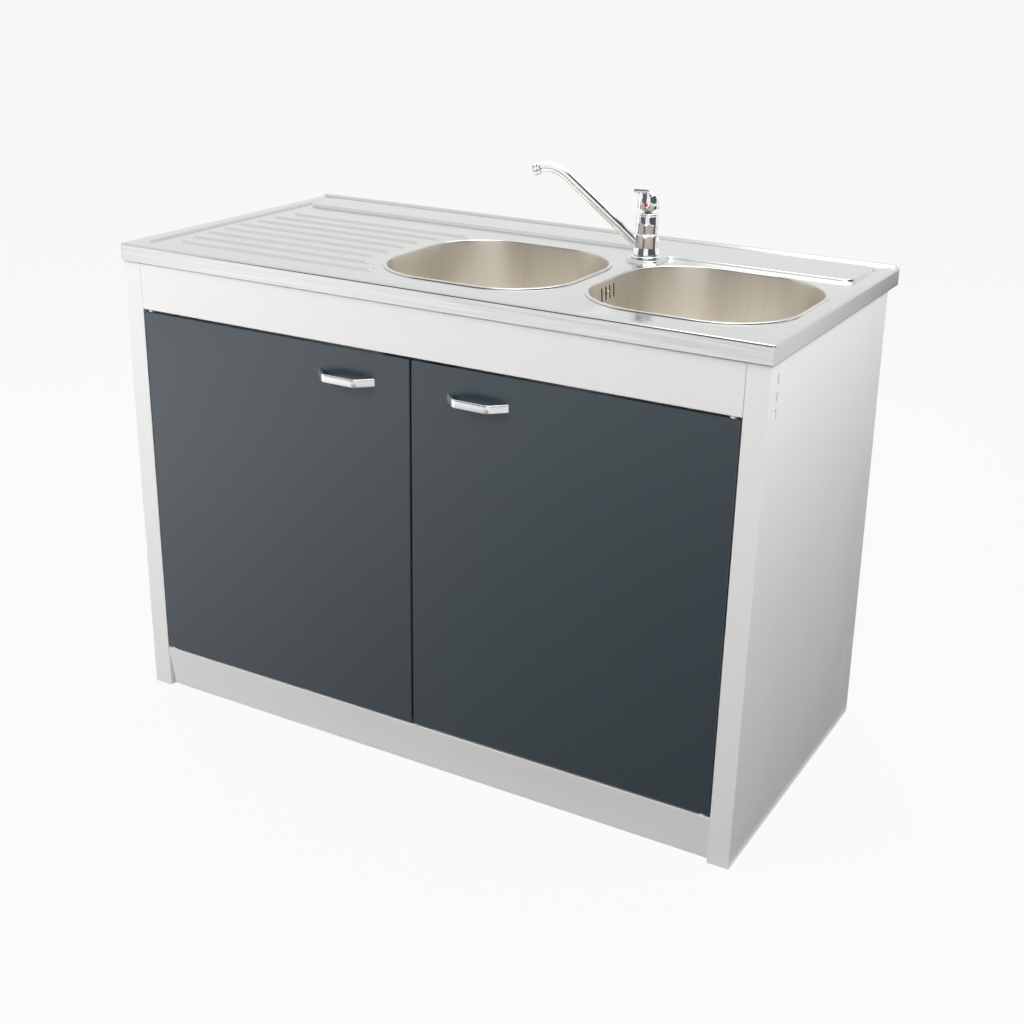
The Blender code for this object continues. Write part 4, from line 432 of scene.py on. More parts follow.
def ledge_corners(grow=0.0):
    end, back, margin = LEDGE_END + grow, at_depth(LEDGE_BACK) + grow, TAP_MARGIN + grow
    front, front_right = at_depth(LEDGE_FRONT) - grow, at_depth(LEDGE_FRONT_RIGHT) - grow
    points = [(-end, back), (-end, front), (TAP_X - margin, front), (TAP_X - margin, TAP_Y - margin),
              (TAP_X + margin, TAP_Y - margin), (TAP_X + margin, front_right), (end, front_right),
              (end, back)]
    outer, inner = LEDGE_RADIUS + grow, LEDGE_RADIUS - grow
    return points, [outer, outer, inner, outer, outer, LEDGE_RADIUS / 2 - grow, outer, outer]


def eased(share):
    share = np.clip(share, 0, 1)
    return share * share * (3 - 2 * share)


def bowl_plan(middle_x, grow, steps=18, sides=6):
    half_x, half_y = BOWL_WIDTH / 2 + grow, BOWL_LENGTH / 2 + grow
    outline = rectangle(middle_x - half_x, middle_x + half_x, BOWL_Y - half_y, BOWL_Y + half_y)
    corners = rounded(outline, BOWL_RADIUS + grow, steps)
    out = []
    for i, corner in enumerate(corners):
        out.append(corner)
        if i % (steps + 1) == steps:
            following = corners[(i + 1) % len(corners)]
            out += [corner.lerp(following, share / sides) for share in range(1, sides)]
    return out


def rib_ends():
    """(y, left end, right end) of every rib: the right ends keep an even margin to the bowl."""
    half_count = (RIB_COUNT - 1) / 2
    corner_x = BOWLS[0][0] - BOWL_WIDTH / 2 + BOWL_RADIUS
    out = []
    for i in range(RIB_COUNT):
        y = at_depth(RIB_FIRST + i * RIB_PITCH)
        off = (i - half_count) / half_count
        beyond = max(0.0, abs(y - BOWL_Y) - (BOWL_LENGTH / 2 - BOWL_RADIUS))
        right = corner_x - sqrt((BOWL_RADIUS + RIB_MARGIN) ** 2 - beyond ** 2)
        out.append((y, -HALF_TOP + RIB_END + RIB_BOW * off * off, right))
    return out


def deck_height(points):
    """Height of the pressed sheet's upper side over each plan point."""
    field = outline_distance(points, field_corners(), FIELD_RADIUS)
    height = FIELD_Z + (TOP_HEIGHT - FIELD_Z) * eased(field / FIELD_SLOPE)
    ledge = outline_distance(points, *ledge_corners())
    height += (LEDGE_Z - height) * (1 - eased(ledge / LEDGE_SLOPE))
    for y, left, right in rib_ends():
        half = RIB_WIDTH / 2
        x = np.clip(points[:, 0], left + half, right - half)
        away = np.hypot(points[:, 0] - x, points[:, 1] - y) / half
        height += np.where(away < 1, RIB_RISE * 0.5 * (1 + np.cos(np.pi * np.minimum(away, 1))), 0)
    depth = points[:, 1] - FRONT_Y
    across = eased((depth - LIP_FRONT) / LIP_SLOPE) * eased((LIP_BACK - depth) / LIP_SLOPE)
    ends = eased((HALF_TOP - EDGE_RADIUS - GAP - np.abs(points[:, 0])) / LIP_SLOPE)
    return height + LIP_RISE * across * ends


def tap_circle(radius):
    return [Vector((TAP_X + x, TAP_Y + y)) for x, y in circle(radius, 40)]


def deck_loops():
    """Plan loops along every change of height, close enough together to shade smoothly."""
    loops = []
    for grow in (-1.0, 0.0, 0.4, 0.8, 1.2, 1.6, 2.0, 2.4, 2.8, 3.2, 4.0):
        reach = grow * MILLIMETRE
        loops.append(rounded(field_corners(reach), FIELD_RADIUS + reach, 12))
    for grow in (-1.0, 0.0, 0.5, 1.0, 1.5, 2.0, 2.5, 3.0, 3.5, 4.0, 4.8):
        loops.append(rounded(*ledge_corners(grow * MILLIMETRE), 10))
    for y, left, right in rib_ends():
        half = RIB_WIDTH / 2
        for reach in (7.8, 7.0, 6.1, 5.2, 4.3, 3.4, 2.5, 1.6, 0.8):
            size = reach * MILLIMETRE
            outline = rectangle(left + half - size, right - half + size, y - size, y + size)
            loops.append(rounded(outline, size * 0.999, 7))
    for middle_x, _ in BOWLS:
        loops += [bowl_plan(middle_x, reach) for reach in (0.0016, 0.009, 0.014)]
    loops += [tap_circle(radius) for radius in (TAP_HOLE, TAP_HOLE + 0.004, TAP_HOLE + 0.008)]
    return loops


def sink_top():
    edge_x = HALF_TOP - EDGE_RADIUS
    edge_front, edge_back = at_depth(EDGE_RADIUS), at_depth(TOP_DEPTH - EDGE_RADIUS)
    edge = rounded(rectangle(-edge_x, edge_x, edge_front, edge_back), CORNER_RADIUS - EDGE_RADIUS, 6)
    points, lines = [], []

    def add(loop, closed=True):
        start = len(points)
        points.extend(Vector((point[0], point[1])) for point in loop)
        last = len(points) - 1
        lines.extend((i, i + 1) for i in range(start, last))
        if closed:
            lines.append((last, start))

    add(edge)
    for loop in deck_loops():
        add(loop)
    x0, x1 = -HALF_TOP + EDGE_RADIUS * 2, HALF_TOP - EDGE_RADIUS * 2
    for number in range(11):
        depth = LIP_FRONT - 0.0006 + (LIP_BACK - LIP_FRONT + 0.0006) * number / 10
        add([(x0 + LIP_SLOPE, at_depth(depth)), (x1 - LIP_SLOPE, at_depth(depth))], False)
        for side in (-1, 1):
            points += [Vector((side * (x1 - LIP_SLOPE + (LIP_SLOPE + 0.0025) * share / 6), at_depth(depth)))
                       for share in range(7)]
    for i in range(30):
        for j in range(15):
            points.append(Vector((-0.58 + 0.04 * i, at_depth(0.02 + 0.04 * j))))
    flat, _, faces, _, _, _ = delaunay_2d_cdt(points, lines, [], 0, 1e-7)
    plan = np.array([point[:] for point in flat])
    middles = np.array([plan[list(face)].mean(axis=0) for face in faces])
    keep = inside(middles, [tuple(p[:2]) for p in edge])
    for hole in [bowl_plan(x, 0.0016) for x, _ in BOWLS] + [tap_circle(TAP_HOLE)]:
        keep &= ~inside(middles, [tuple(p[:2]) for p in hole])
    heights = deck_height(plan)
    made = bmesh.new()
    upper = [made.verts.new((x, y, z)) for (x, y), z in zip(plan, heights)]
    lower = [made.verts.new((x, y, z - SHEET)) for (x, y), z in zip(plan, heights)]
    for face, kept in zip(faces, keep):
        a, b, c = [plan[i] for i in face]
        turn = (b[0] - a[0]) * (c[1] - a[1]) - (b[1] - a[1]) * (c[0] - a[0])
        if not kept or abs(turn) < 1e-14:
            continue
        order = face if turn > 0 else face[::-1]
        made.faces.new([upper[i] for i in order])
        made.faces.new([lower[i] for i in order[::-1]])
    place_in = {corner: i for i, corner in enumerate(upper)}
    rims = [line for line in made.edges if len(line.link_faces) == 1 and line.verts[0] in place_in]
    x, y0, y1 = HALF_TOP - CORNER_RADIUS, at_depth(CORNER_RADIUS), at_depth(TOP_DEPTH - CORNER_RADIUS)
    foot, within = TOP_HEIGHT - SKIRT, EDGE_RADIUS - SHEET

    def bend(radius):
        return [(radius * sin(step * pi / 12), TOP_HEIGHT - EDGE_RADIUS + radius * cos(step * pi / 12))
                for step in range(1, 7)]

    section = [*bend(EDGE_RADIUS), (EDGE_RADIUS, TOP_HEIGHT - EDGE_RADIUS * 1.2),
               (EDGE_RADIUS, foot + GAP * 3), (EDGE_RADIUS, foot + GAP), (EDGE_RADIUS - GAP, foot),
               (within, foot), (within, foot + GAP * 3), *reversed(bend(within))]
    rows = {}

    def column(corner):
        """The bent edge and skirt under one point of the outer rim, from upper to lower side."""
        if corner not in rows:
            i = place_in[corner]
            px, py = plan[i]
            away = Vector((px - min(max(px, -x), x), py - min(max(py, y0), y1))).normalized()
            rows[corner] = [upper[i], *(made.verts.new((px + away.x * out, py + away.y * out, z))
                                        for out, z in section), lower[i]]
        return rows[corner]

    def hem(corner):
        """The skirt at the outer edge, and only the sheet's thickness round a hole."""
        px, py = plan[place_in[corner]]
        if max(abs(px) - edge_x, edge_front - py, py - edge_back) > -CORNER_RADIUS / 2:
            return column(corner)
        return [corner, lower[place_in[corner]]]

    for line in rims:
        first, second = [hem(corner) for corner in line.verts]
        for p, q, r, s in zip(first, second, second[1:], first[1:]):
            made.faces.new((p, q, r, s))
    loose = [corner for corner in made.verts if not corner.link_faces]
    bmesh.ops.delete(made, geom=loose, context="VERTS")
    placed("deck", "sink_top", made, angle=50)


def bowl(middle_x, word):
    """Drawn bowl: rolled bead, tapered wall, round fillet, and a floor that falls to the waste."""
    bead = rounded([(0.0070, GAP), (0.0070, 0.0021), (0.0004, 0.0023), (-0.0002, -0.0040)],
                   [0, 0.0019, 0.0022, 0], 6, closed=False)
    rows = [(point[0], FIELD_Z + point[1], 0.0) for point in bead]
    foot = FLOOR_Z + BOWL_FILLET
    top = rows[-1][1]
    rows += [(-BOWL_TAPER * share, top + (foot - top) * share, 0.0) for share in (0.25, 0.5, 0.75, 1.0)]
    bends = [step * pi / 18 for step in range(1, 10)]
    rows += [(-BOWL_TAPER - BOWL_FILLET * (1 - cos(bend)), foot - BOWL_FILLET * sin(bend), 0.0)
             for bend in bends]
    last = rows[-1][0]
    rows += [(last, FLOOR_Z - 0.0004 * share, share) for share in (0.15, 0.4, 0.65, 0.85)]
    rim = 0.0625
    angles = [atan2(p[1] - BOWL_Y, p[0] - middle_x) for p in bowl_plan(middle_x, 0)]

    def ring(grow, z, share, radius=rim):
        out = []
        for point, angle in zip(bowl_plan(middle_x, grow), angles):
            goal = Vector((middle_x + radius * cos(angle), BOWL_Y + radius * sin(angle)))
            flat = Vector(point[:2]).lerp(goal, share)
            out.append((flat.x, flat.y, z))
        return out

    inner = [ring(*row) for row in rows]
    inner += [ring(last, z, 1.0, radius) for radius, z in
              ((rim, FLOOR_Z - 0.0005), (0.0608, FLOOR_Z - 0.0009), (0.0590, FLOOR_Z - 0.0026),
               (0.0575, WASTE_Z), (0.0450, WASTE_Z))]
    outer = [ring(last, z, 1.0, radius) for radius, z in
             ((0.0450, WASTE_Z - SHEET), (0.0582, WASTE_Z - SHEET), (0.0618, FLOOR_Z - 0.0005 - SHEET))]
    outer += [ring(-BOWL_TAPER - BOWL_FILLET + (BOWL_FILLET + SHEET) * cos(bend),
                   foot - (BOWL_FILLET + SHEET) * sin(bend), 0.0) for bend in reversed(bends)]
    outer += [ring(SHEET - BOWL_TAPER, foot, 0.0), ring(SHEET, FIELD_Z - 0.003, 0.0),
              ring(SHEET, FIELD_Z + GAP, 0.0)]
    shape = lofted(inner + outer, closed=True)
    if word == "right":
        shape = carved(shape, overflow_cut())
    made = placed(f"bowl_{word}_skin", f"bowl_{word}", shape, angle=40)
    painted(made, "stainless", lambda face: face.center.z > FIELD_Z - 0.0005)


def slot_form(x0, x1, y, z, width, tall):
    """A slot with round ends, pushed along X."""
    radius = width / 2
    outline = []
    for sign in (1, -1):
        for step in range(9):
            angle = pi * step / 8
            outline.append((y + sign * radius * cos(angle),
                            z + sign * (tall / 2 - radius + radius * sin(angle))))
    return lofted([[(x, a, b) for a, b in outline] for x in (x0, x1)])


def overflow_cut():
    x0, x1 = OVERFLOW_BACK - 0.004, OVERFLOW_BACK + 0.010
    cuts = [slot_form(x0, x1, OVERFLOW_Y + (i - 1.5) * 0.0145, OVERFLOW_Z, 0.0045, 0.024) for i in range(4)]
    cuts.append(moved_by(rod(0.0025, x0, x1, 16), turned_to((1, 0, 0), (0, OVERFLOW_Y, OVERFLOW_Z))))
    return joined(*cuts)


# Wastes, strainers and pipes

def waste(middle_x, word):
    place = shift(middle_x, BOWL_Y, 0)
    top, under = WASTE_Z + GAP, WASTE_Z - SHEET - GAP
    seat, bottom, end = WASTE_Z - 0.010, WASTE_Z - 0.048, WASTE_END
    profile = [(NECK, top), (0.0559, top), (0.0559, top + 0.0004), (0.0500, top + 0.0015),
               (0.0436, top + 0.0014), (0.0420, top + 0.0004), (0.0420, seat), (0.0370, seat),
               (0.0370, bottom + 0.0015), (0.0175, bottom - 0.010), (0.0175, end), (0.0190, end),
               (0.0190, bottom - 0.010), (NECK, bottom)]
    radii = [0, 0.0001, 0.0002, 0.003, 0.0015, 0.0008, 0.0004, 0.0008, 0.003, 0.002, 0.0004, 0.0004, 0.002,
             0.003]
    shape = moved_by(lathe(profile, radii, 64, 2), place)
    if word == "right":
        inlet_z = bottom + 0.018
        shape = carved(shape, tube([(middle_x - 0.0475, OVERFLOW_Y, inlet_z),
                                    (middle_x - 0.0217, OVERFLOW_Y, inlet_z)], 0.0072, 20))
    placed(f"waste_{word}_cup", f"waste_{word}", shape, FLANGE)
    hole, rim = NECK + GAP, 0.0540
    seal = [(hole, under), (rim, under), (rim, under - 0.002), (hole, under - 0.002)]
    turned(f"waste_{word}_gasket", f"waste_seal_{word}", seal, 0.0005, 64, place, steps=2)
    nut_top = under - 0.0023
    nut = [(hole, nut_top), (rim - SHEET, nut_top), (rim - SHEET, nut_top - 0.002), (rim, nut_top - 0.003),
           (rim, nut_top - 0.011), (rim - SHEET, nut_top - 0.012), (hole, nut_top - 0.012)]
    placed(f"waste_{word}_ring", f"waste_nut_{word}", moved_by(revolved(nut, 192, 24, 0.002), place))


def strainer(middle_x, word):
    """Basket with three rings of holes in its foot, one in its side, and a turned knob."""
    seat = WASTE_Z - 0.010 + GAP
    profile = [(0, -0.022), (0.0304, -0.022), (0.0364, -0.0012), (0.0364, 0), (0.0414, 0),
               (0.0414, 0.0012), (0.0352, 0.0012), (0.0292, -0.0208), (0.004, -0.0208), (0.0034, -0.008),
               (0.004, 0.0065), (0.0098, 0.0085), (0.0104, 0.0100), (0.0080, 0.0120), (0, 0.0116)]
    radii = [0, 0.002, 0.001, 0, 0.0004, 0.0004, 0.001, 0.002, 0.0015, 0.004, 0.0015, 0.0006, 0.0008,
             0.002, 0]
    shape = lathe(profile, radii, 64)
    cuts = []
    for radius, count, size in ((0.0125, 8, 0.0022), (0.0205, 14, 0.0022), (0.0268, 18, 0.0018)):
        cuts += [moved_by(rod(size, -0.026, -0.018, 12), shift(x, y, 0)) for x, y in circle(radius, count)]
    for x, y in circle(1, 20):
        cuts.append(moved_by(rod(0.0019, 0.026, 0.040, 10), turned_to((x, y, 0), (0, 0, -0.009))))
    shape = carved(shape, joined(*cuts))
    placed(f"strainer_{word}_basket", f"strainer_{word}",
           moved_by(shape, shift(middle_x, BOWL_Y, seat)), FLANGE)


def pipe_nut(name, node, radius, fit, height, matrix):
    profile = [(fit, 0), (radius - 0.0025, 0), (radius - 0.0006, 0.002), (radius, 0.0035),
               (radius, height - 0.001), (radius - 0.001, height), (fit, height)]
    placed(name, node, moved_by(revolved(profile, 120, 15, 0.0012), matrix))


def pipes():
    top = WASTE_END - GAP
    for middle_x, word in BOWLS:
        pipe_nut(f"tail_{word}_nut", f"tail_nut_{word}", 0.027, 0.0211, 0.018,
                 shift(middle_x, BOWL_Y, WASTE_END - 0.009))
    (left_x, _), (right_x, _) = BOWLS
    branch_x = right_x - 0.046

    def run(start_x, start_z, end_x, end_z, radius):
        return tube([(start_x, BOWL_Y, start_z), (end_x, BOWL_Y, end_z)], radius, 48)

    path = rounded([(left_x, BOWL_Y, top), (left_x, BOWL_Y, RUN_Z), (branch_x - GAP, BOWL_Y, RUN_Z)],
                   0.026, 14, closed=False)
    placed("elbow_pipe", "tail_elbow", tube(path, PIPE, 48, PIPE_BORE))
    tee = carved(run(right_x, top, right_x, TRAP_TOP + GAP, PIPE),
                 run(branch_x, RUN_Z, right_x, RUN_Z, PIPE - GAP), "UNION")
    tee = carved(tee, run(right_x, top + 0.004, right_x, TRAP_TOP - 0.004, PIPE_BORE))
    tee = carved(tee, run(branch_x - 0.004, RUN_Z, right_x, RUN_Z, PIPE_BORE - GAP))
    placed("tee_pipe", "trap_tee", tee)
    trap(right_x)


def trap(x):
    place = shift(x, BOWL_Y, 0)
    pipe_nut("trap_upper_nut", "trap_nut", 0.027, 0.0211, 0.018, shift(x, BOWL_Y, TRAP_TOP + 0.0006))
    top, base, wall, wide, rim = TRAP_TOP, 0.466, 0.0025, 0.030, 0.0330
    head = [(PIPE_BORE, top), (wide - wall, top), (wide, top - wall), (wide, base), (wide - wall, base),
            (wide - wall, top - wall * 2), (PIPE_BORE, top - wall * 2)]
    head = lathe(head, [0, 0.001, 0.001, 0.0004, 0.0004, 0.001, 0], 64)
    outlet_z = top - OUTLET_DROP

    def outlet(start, end, radius):
        return tube([(0, start, outlet_z), (0, end, outlet_z)], radius, 40)

    body = carved(head, outlet(0.025, 0.052, WALL_PIPE), "UNION")
    body = carved(body, outlet(0.020, 0.056, WALL_BORE))
    placed("trap_head", "trap_body", moved_by(body, place))
    cup_top = base - GAP
    low, waist = cup_top - 0.054, cup_top - 0.027
    cup = [(0, low), (0.0182, low), (0.0312, waist), (rim, waist + 0.002), (rim, cup_top),
           (rim - wall, cup_top), (rim - wall, waist), (0.0169, low + wall), (0, low + wall)]
    bottle = lathe(cup, [0, 0.003, 0.002, 0.001, 0.0005, 0.0005, 0.002, 0.003, 0], 120, 3, 15, 0.0014)
    placed("trap_bottle", "trap_cup", moved_by(bottle, place))
    joint_y = BOWL_Y + 0.052
    back = turned_to((0, 1, 0), (x, joint_y - 0.009, outlet_z))
    pipe_nut("trap_outlet_nut", "outlet_nut", 0.025, 0.0169, 0.018, back)
    placed("wall_pipe", "outlet_pipe", tube([(x, joint_y + GAP, outlet_z), (x, at_depth(0.560), outlet_z)],
                                            WALL_PIPE, 48, WALL_BORE))


def overflow():
    x0, x1 = OVERFLOW_BACK - 0.013, OVERFLOW_BACK
    half_y, half_z = 0.031, 0.018

    def ring(x, inset, radius):
        outline = rectangle(OVERFLOW_Y - half_y + inset, OVERFLOW_Y + half_y - inset,
                            OVERFLOW_Z - half_z + inset, OVERFLOW_Z + half_z - inset)
        return [(x, point[0], point[1]) for point in rounded(outline, radius, 5)]

    cup = lofted([ring(x0, 0.0022, 0.004), ring(x0 + 0.0008, 0.0008, 0.005), ring(x0 + 0.0022, 0, 0.006),
                  ring(x1, 0, 0.006), ring(x1, 0.002, 0.004), ring(x0 + 0.002, 0.002, 0.004)])
    turn = turned_to((1, 0, 0), (0, OVERFLOW_Y, OVERFLOW_Z))
    cup = carved(cup, moved_by(rod(0.0048, x0 + 0.001, x1 - 0.002, 24), turn), "UNION")
    outlet_x, outlet_z = x0 + 0.0065, OVERFLOW_Z - half_z
    drain = tube([(outlet_x, OVERFLOW_Y, outlet_z - 0.002), (outlet_x, OVERFLOW_Y, outlet_z + 0.004)],
                 0.0042, 16)
    cup = carved(cup, joined(moved_by(rod(0.0025, x0 + 0.002, x1 + 0.002, 24), turn), drain))

    # Faces inside the cup's hollow, seen through the slots in the bowl wall, get the black rubber finish as
    # painted shade.
    def shaded_hollow(face):
        across = max(abs(face.center.y - OVERFLOW_Y) / half_y, abs(face.center.z - OVERFLOW_Z) / half_z)
        return face.center.x > x0 + 0.0015 and across < (0.96 if abs(face.normal.x) > 0.5 else 0.945)

    painted(placed("overflow_cup", "overflow_housing", cup), "black_rubber", shaded_hollow)
    wall_x = BOWLS[1][0] - BOWL_WIDTH / 2 + BOWL_TAPER * 0.2067 + GAP
    screw = lathe([(0, x0 + 0.0023), (0.0022, x0 + 0.0023), (0.0022, wall_x), (0.0048, wall_x),
                   (0.0030, wall_x + 0.0018), (0, wall_x + 0.0018)], [0, 0, 0, 0.0003, 0.001, 0], 32)
    screw = carved(moved_by(screw, turn),
                   block((wall_x + 0.0008, OVERFLOW_Y - 0.0005, OVERFLOW_Z - 0.006),
                         (wall_x + 0.003, OVERFLOW_Y + 0.0005, OVERFLOW_Z + 0.006)))
    placed("overflow_rose_screw", "overflow_screw", screw)
    inlet_z = WASTE_Z - 0.030
    path = rounded([(outlet_x, OVERFLOW_Y, outlet_z - GAP), (outlet_x, OVERFLOW_Y, inlet_z),
                    (BOWLS[1][0] - NECK - GAP, OVERFLOW_Y, inlet_z)], 0.030, 16, closed=False)
    dense = []
    for a, b in zip(path, path[1:]):
        parts = max(1, round((b - a).length / 0.0022))
        dense += [a.lerp(b, i / parts) for i in range(parts)]
    dense.append(path[-1])
    ribbed(dense)


def ribbed(path):
    """Corrugated overflow hose, plain at both ends."""
    shape = tube(path, 0.009, 24, 0.0072)
    rings = len(path)
    shape.verts.ensure_lookup_table()
    for i in range(rings):
        if 4 < i < rings - 5 and i % 2:
            for k in range(24):
                corner = shape.verts[i * 24 + k]
                corner.co += (path[i] - corner.co).normalized() * 0.0011
    placed("overflow_hose", "overflow_pipe", shape, angle=70)


# Tap

def tap():
    place = shift(TAP_X, TAP_Y, 0)
    base = LEDGE_Z + GAP
    hole, rim = SHANK + GAP, 0.0249
    flange = [(hole, base), (rim, base), (rim, base + 0.0035), (0.0225, base + 0.005), (hole, base + 0.005)]
    turned("tap_base_ring", "tap_flange", flange, [0, 0.0003, 0.001, 0.0012, 0], 96, place, steps=4)
    foot, collar, shoulder = base + 0.0053, LEDGE_Z + 0.0423, LEDGE_Z + 0.077
    low, core, wide, groove = LEDGE_Z - 0.046, 0.0150, 0.0195, 0.0186
    column = [(0, low), (SHANK, low), (SHANK, foot), (core, foot), (core, collar), (0.0189, collar),
              (wide, collar + 0.0007), (wide, shoulder - 0.0050), (groove, shoulder - 0.0042),
              (groove, shoulder - 0.0034), (wide, shoulder - 0.0026), (wide, shoulder - 0.0012),
              (0.0183, shoulder), (0, shoulder)]
    radii = [0, 0.0005, 0, 0, 0, 0.0003, 0.0004, 0.0004, 0.0003, 0.0003, 0.0004, 0.0006, 0.0008, 0]
    turned("tap_column", "tap_body", column, radii, 96, place)
    under = LEDGE_Z - SHEET - GAP
    washer = [(hole, under), (0.0235, under), (0.0235, under - 0.003), (hole, under - 0.003)]
    turned("tap_gasket", "tap_washer", washer, 0.0006, 48, place)
    nut_top = under - 0.0033
    outline = rounded(circle(0.0214, 6), 0.0012, 3)
    small = [point * 0.955 for point in outline]
    levels = ((small, nut_top - 0.012), (outline, nut_top - 0.0112), (outline, nut_top - 0.0008),
              (small, nut_top))
    nut = lofted([[(p[0], p[1], z) for p in loop] for loop, z in levels])
    nut = carved(nut, rod(hole, nut_top - 0.016, nut_top + 0.001, 48))
    placed("tap_backnut", "tap_nut", moved_by(nut, place))
    spout()
    lever()


def spout():
    angle, slope, tip = radians(205.0), radians(42.0), radians(20.0)
    place = Vector((TAP_X, TAP_Y, LEDGE_Z))
    foot, bore = 0.0056, 0.0156
    collar = lathe([(bore, foot), (0.0235, foot), (0.0235, foot + 0.002), (0.0208, foot + 0.0126),
                    (0.0208, 0.0405), (0.0193, 0.042), (bore, 0.042)],
                   [0, 0.0006, 0.002, 0.008, 0.0010, 0.0008, 0], 96, 5)
    start = (0.0208 - 0.00225, 0.0263)
    knee = (start[0] + (0.1485 - 0.0263) / tan(slope), 0.1485)
    end = (0.181 + 0.010 * cos(tip), 0.1485 - 0.010 * sin(tip))
    points = [(reach * cos(angle), reach * sin(angle), height)
              for reach, height in (start, knee, (0.181, 0.1485), end)]
    path = rounded(points, [0, 0.060, 0.014, 0], 20, closed=False)
    shape = carved(collar, tube(path, 0.0090, 48), "UNION")
    shape = carved(shape, rod(bore, foot - 0.004, 0.046, 96))
    placed("swivel_spout", "tap_spout", moved_by(shape, shift(*place)), angle=40)
    fit, rim = 0.0096, 0.0122
    profile = [(0, 0.007), (fit, 0.007), (fit, 0), (rim - 0.0012, 0), (rim, 0.0014), (rim, 0.0052),
               (rim - 0.0006, 0.0057), (rim - 0.0006, 0.0063), (rim, 0.0068), (rim, 0.0115),
               (rim - 0.0012, 0.0130), (fit, 0.0130), (fit - 0.0003, 0.0095), (0, 0.0090)]
    radii = [0, 0.0004, 0.0004, 0.0006, 0.0006, 0.0002, 0.0002, 0.0002, 0.0002, 0.0006, 0.0006, 0.0004,
             0.0003, 0]
    jet = lathe(profile, radii, 64)
    aim = Matrix.Rotation(angle, 4, "Z") @ Matrix.Rotation(pi / 2 + tip, 4, "Y")
    along = aim @ Vector((0, 0, 1))
    base = place + Vector(points[-1]) - along * (0.007 - GAP)
    made = placed("jet_ring", "tap_aerator", moved_by(jet, shift(*base) @ aim))
    mouth = base + along * 0.0092
    painted(made, "black_rubber", lambda face: (face.center - mouth).length < 0.0085
            and abs((face.center - mouth).dot(along)) < 0.0008)


def lever():
    turn = Matrix.Rotation(radians(12.0), 4, "Z")
    shoulder, middle, size, room = 0.077, 0.092, 0.0155, 0.0162
    pivot, low = shift(TAP_X, TAP_Y, LEDGE_Z + middle), shoulder - middle + GAP
    flat = asin(low / size)
    angles = [flat + (pi / 2 - flat) * i / 20 for i in range(20)]
    ball = [(0, low), *((size * cos(angle), size * sin(angle)) for angle in angles), (0, size)]
    placed("ball_valve", "tap_cartridge", moved_by(revolved(ball, 64), pivot))
    angles = [step * pi / 24 for step in range(1, 12)]
    cap = [(0, -0.0085), (0.0180, -0.0085), (0.0188, -0.0080), (CAP_RADIUS, -0.0070), (CAP_RADIUS, 0.006),
           *((CAP_RADIUS * cos(angle), 0.006 + 0.018 * sin(angle)) for angle in angles), (0, 0.024)]
    cavity = [(0, -0.0125), (room, -0.0125), (room, 0),
              *((room * cos(angle), room * sin(angle)) for angle in angles), (0, room)]
    shape = carved(revolved(cap, 96), paddle(), "UNION")
    shape = carved(shape, revolved(cavity, 64))
    moved_by(shape, turn)
    shape = carved(shape, moved_by(button(0.0033, GAP), turn))
    placed("lever_handle", "tap_lever", moved_by(shape, pivot), angle=40)
    placed("index_button", "tap_index", moved_by(button(0.0030, 0), pivot @ turn))


def paddle():
    """Tapered paddle that rises out of the cap and widens to a rounded end."""
    length, rise, steps = 0.061, 0.031, 26
    slope = atan2(rise - 0.012, length)
    rings = []
    for number in range(steps + 1):
        share = number / steps
        reach = 0.0057 + 0.0553 * share
        to_end = length - reach
        height = rise - to_end * tan(slope)
        wide = 0.017 + 0.012 * float(eased((share - 0.3) / 0.62))
        thick = 0.009 - 0.0035 * share
        round_off = sqrt(max(0.0, 1 - (1 - to_end / 0.0045) ** 2)) if to_end < 0.0045 else 1.0
        wide -= 0.005 * (1 - round_off)
        thick *= 0.45 + 0.55 * round_off
        half = wide / 2
        loop = rounded(rectangle(-half, half, -thick / 2, thick / 2), thick * 0.34, 5)
        rings.append([(p[0], -reach, height + p[1] + 0.0006 * (1 - (2 * p[0] / wide) ** 2) *
                       (1 if p[1] > 0 else 0)) for p in loop])
    return lofted(rings)


def button(radius, grow):
    start = CAP_RADIUS * cos(pi / 24) + 0.0005
    disc = [(0, -start - grow * 2), (radius, -start - grow * 2), (radius, 0.0012 - start + grow),
            (0, 0.0012 - start + grow)]
    if not grow:
        disc = [(0, -start - 0.0002), (radius * 0.7, -start), (radius, -start + 0.0004), *disc[2:]]
    return moved_by(revolved(disc, 32), Matrix.Rotation(-pi / 2, 4, "X"))


# Folded sheets and doors

def folded(name, node, fold=0.0012, edge=0.0003, least=0.006):
    """The node's own sheet with bent folds and softened raw edges."""
    sheet = bmesh.new()
    sheet.from_mesh(frame["nodes"][node].data)
    bmesh.ops.remove_doubles(sheet, verts=sheet.verts, dist=0.000004)
    bmesh.ops.dissolve_limit(sheet, angle_limit=radians(0.2), verts=sheet.verts, edges=sheet.edges)
    sheet.normal_update()

    def width(face):
        return face.calc_area() / max(line.calc_length() for line in face.edges)

    def lines(wide):
        return [line for line in sheet.edges if len(line.link_faces) == 2 and line.is_convex
                and line.calc_length() >= least and line.calc_face_angle() >= radians(50)
                and (min(width(face) for face in line.link_faces) > 0.004) == wide]

    for wide, size, steps in ((True, fold, 3), (False, edge, 1)):
        chosen = lines(wide)
        if chosen and size:
            bmesh.ops.bevel(sheet, geom=chosen, offset=size, segments=steps, profile=0.5, affect="EDGES",
                            clamp_overlap=False)
    placed(name, node, sheet, angle=32, recalc=False, flats=True)


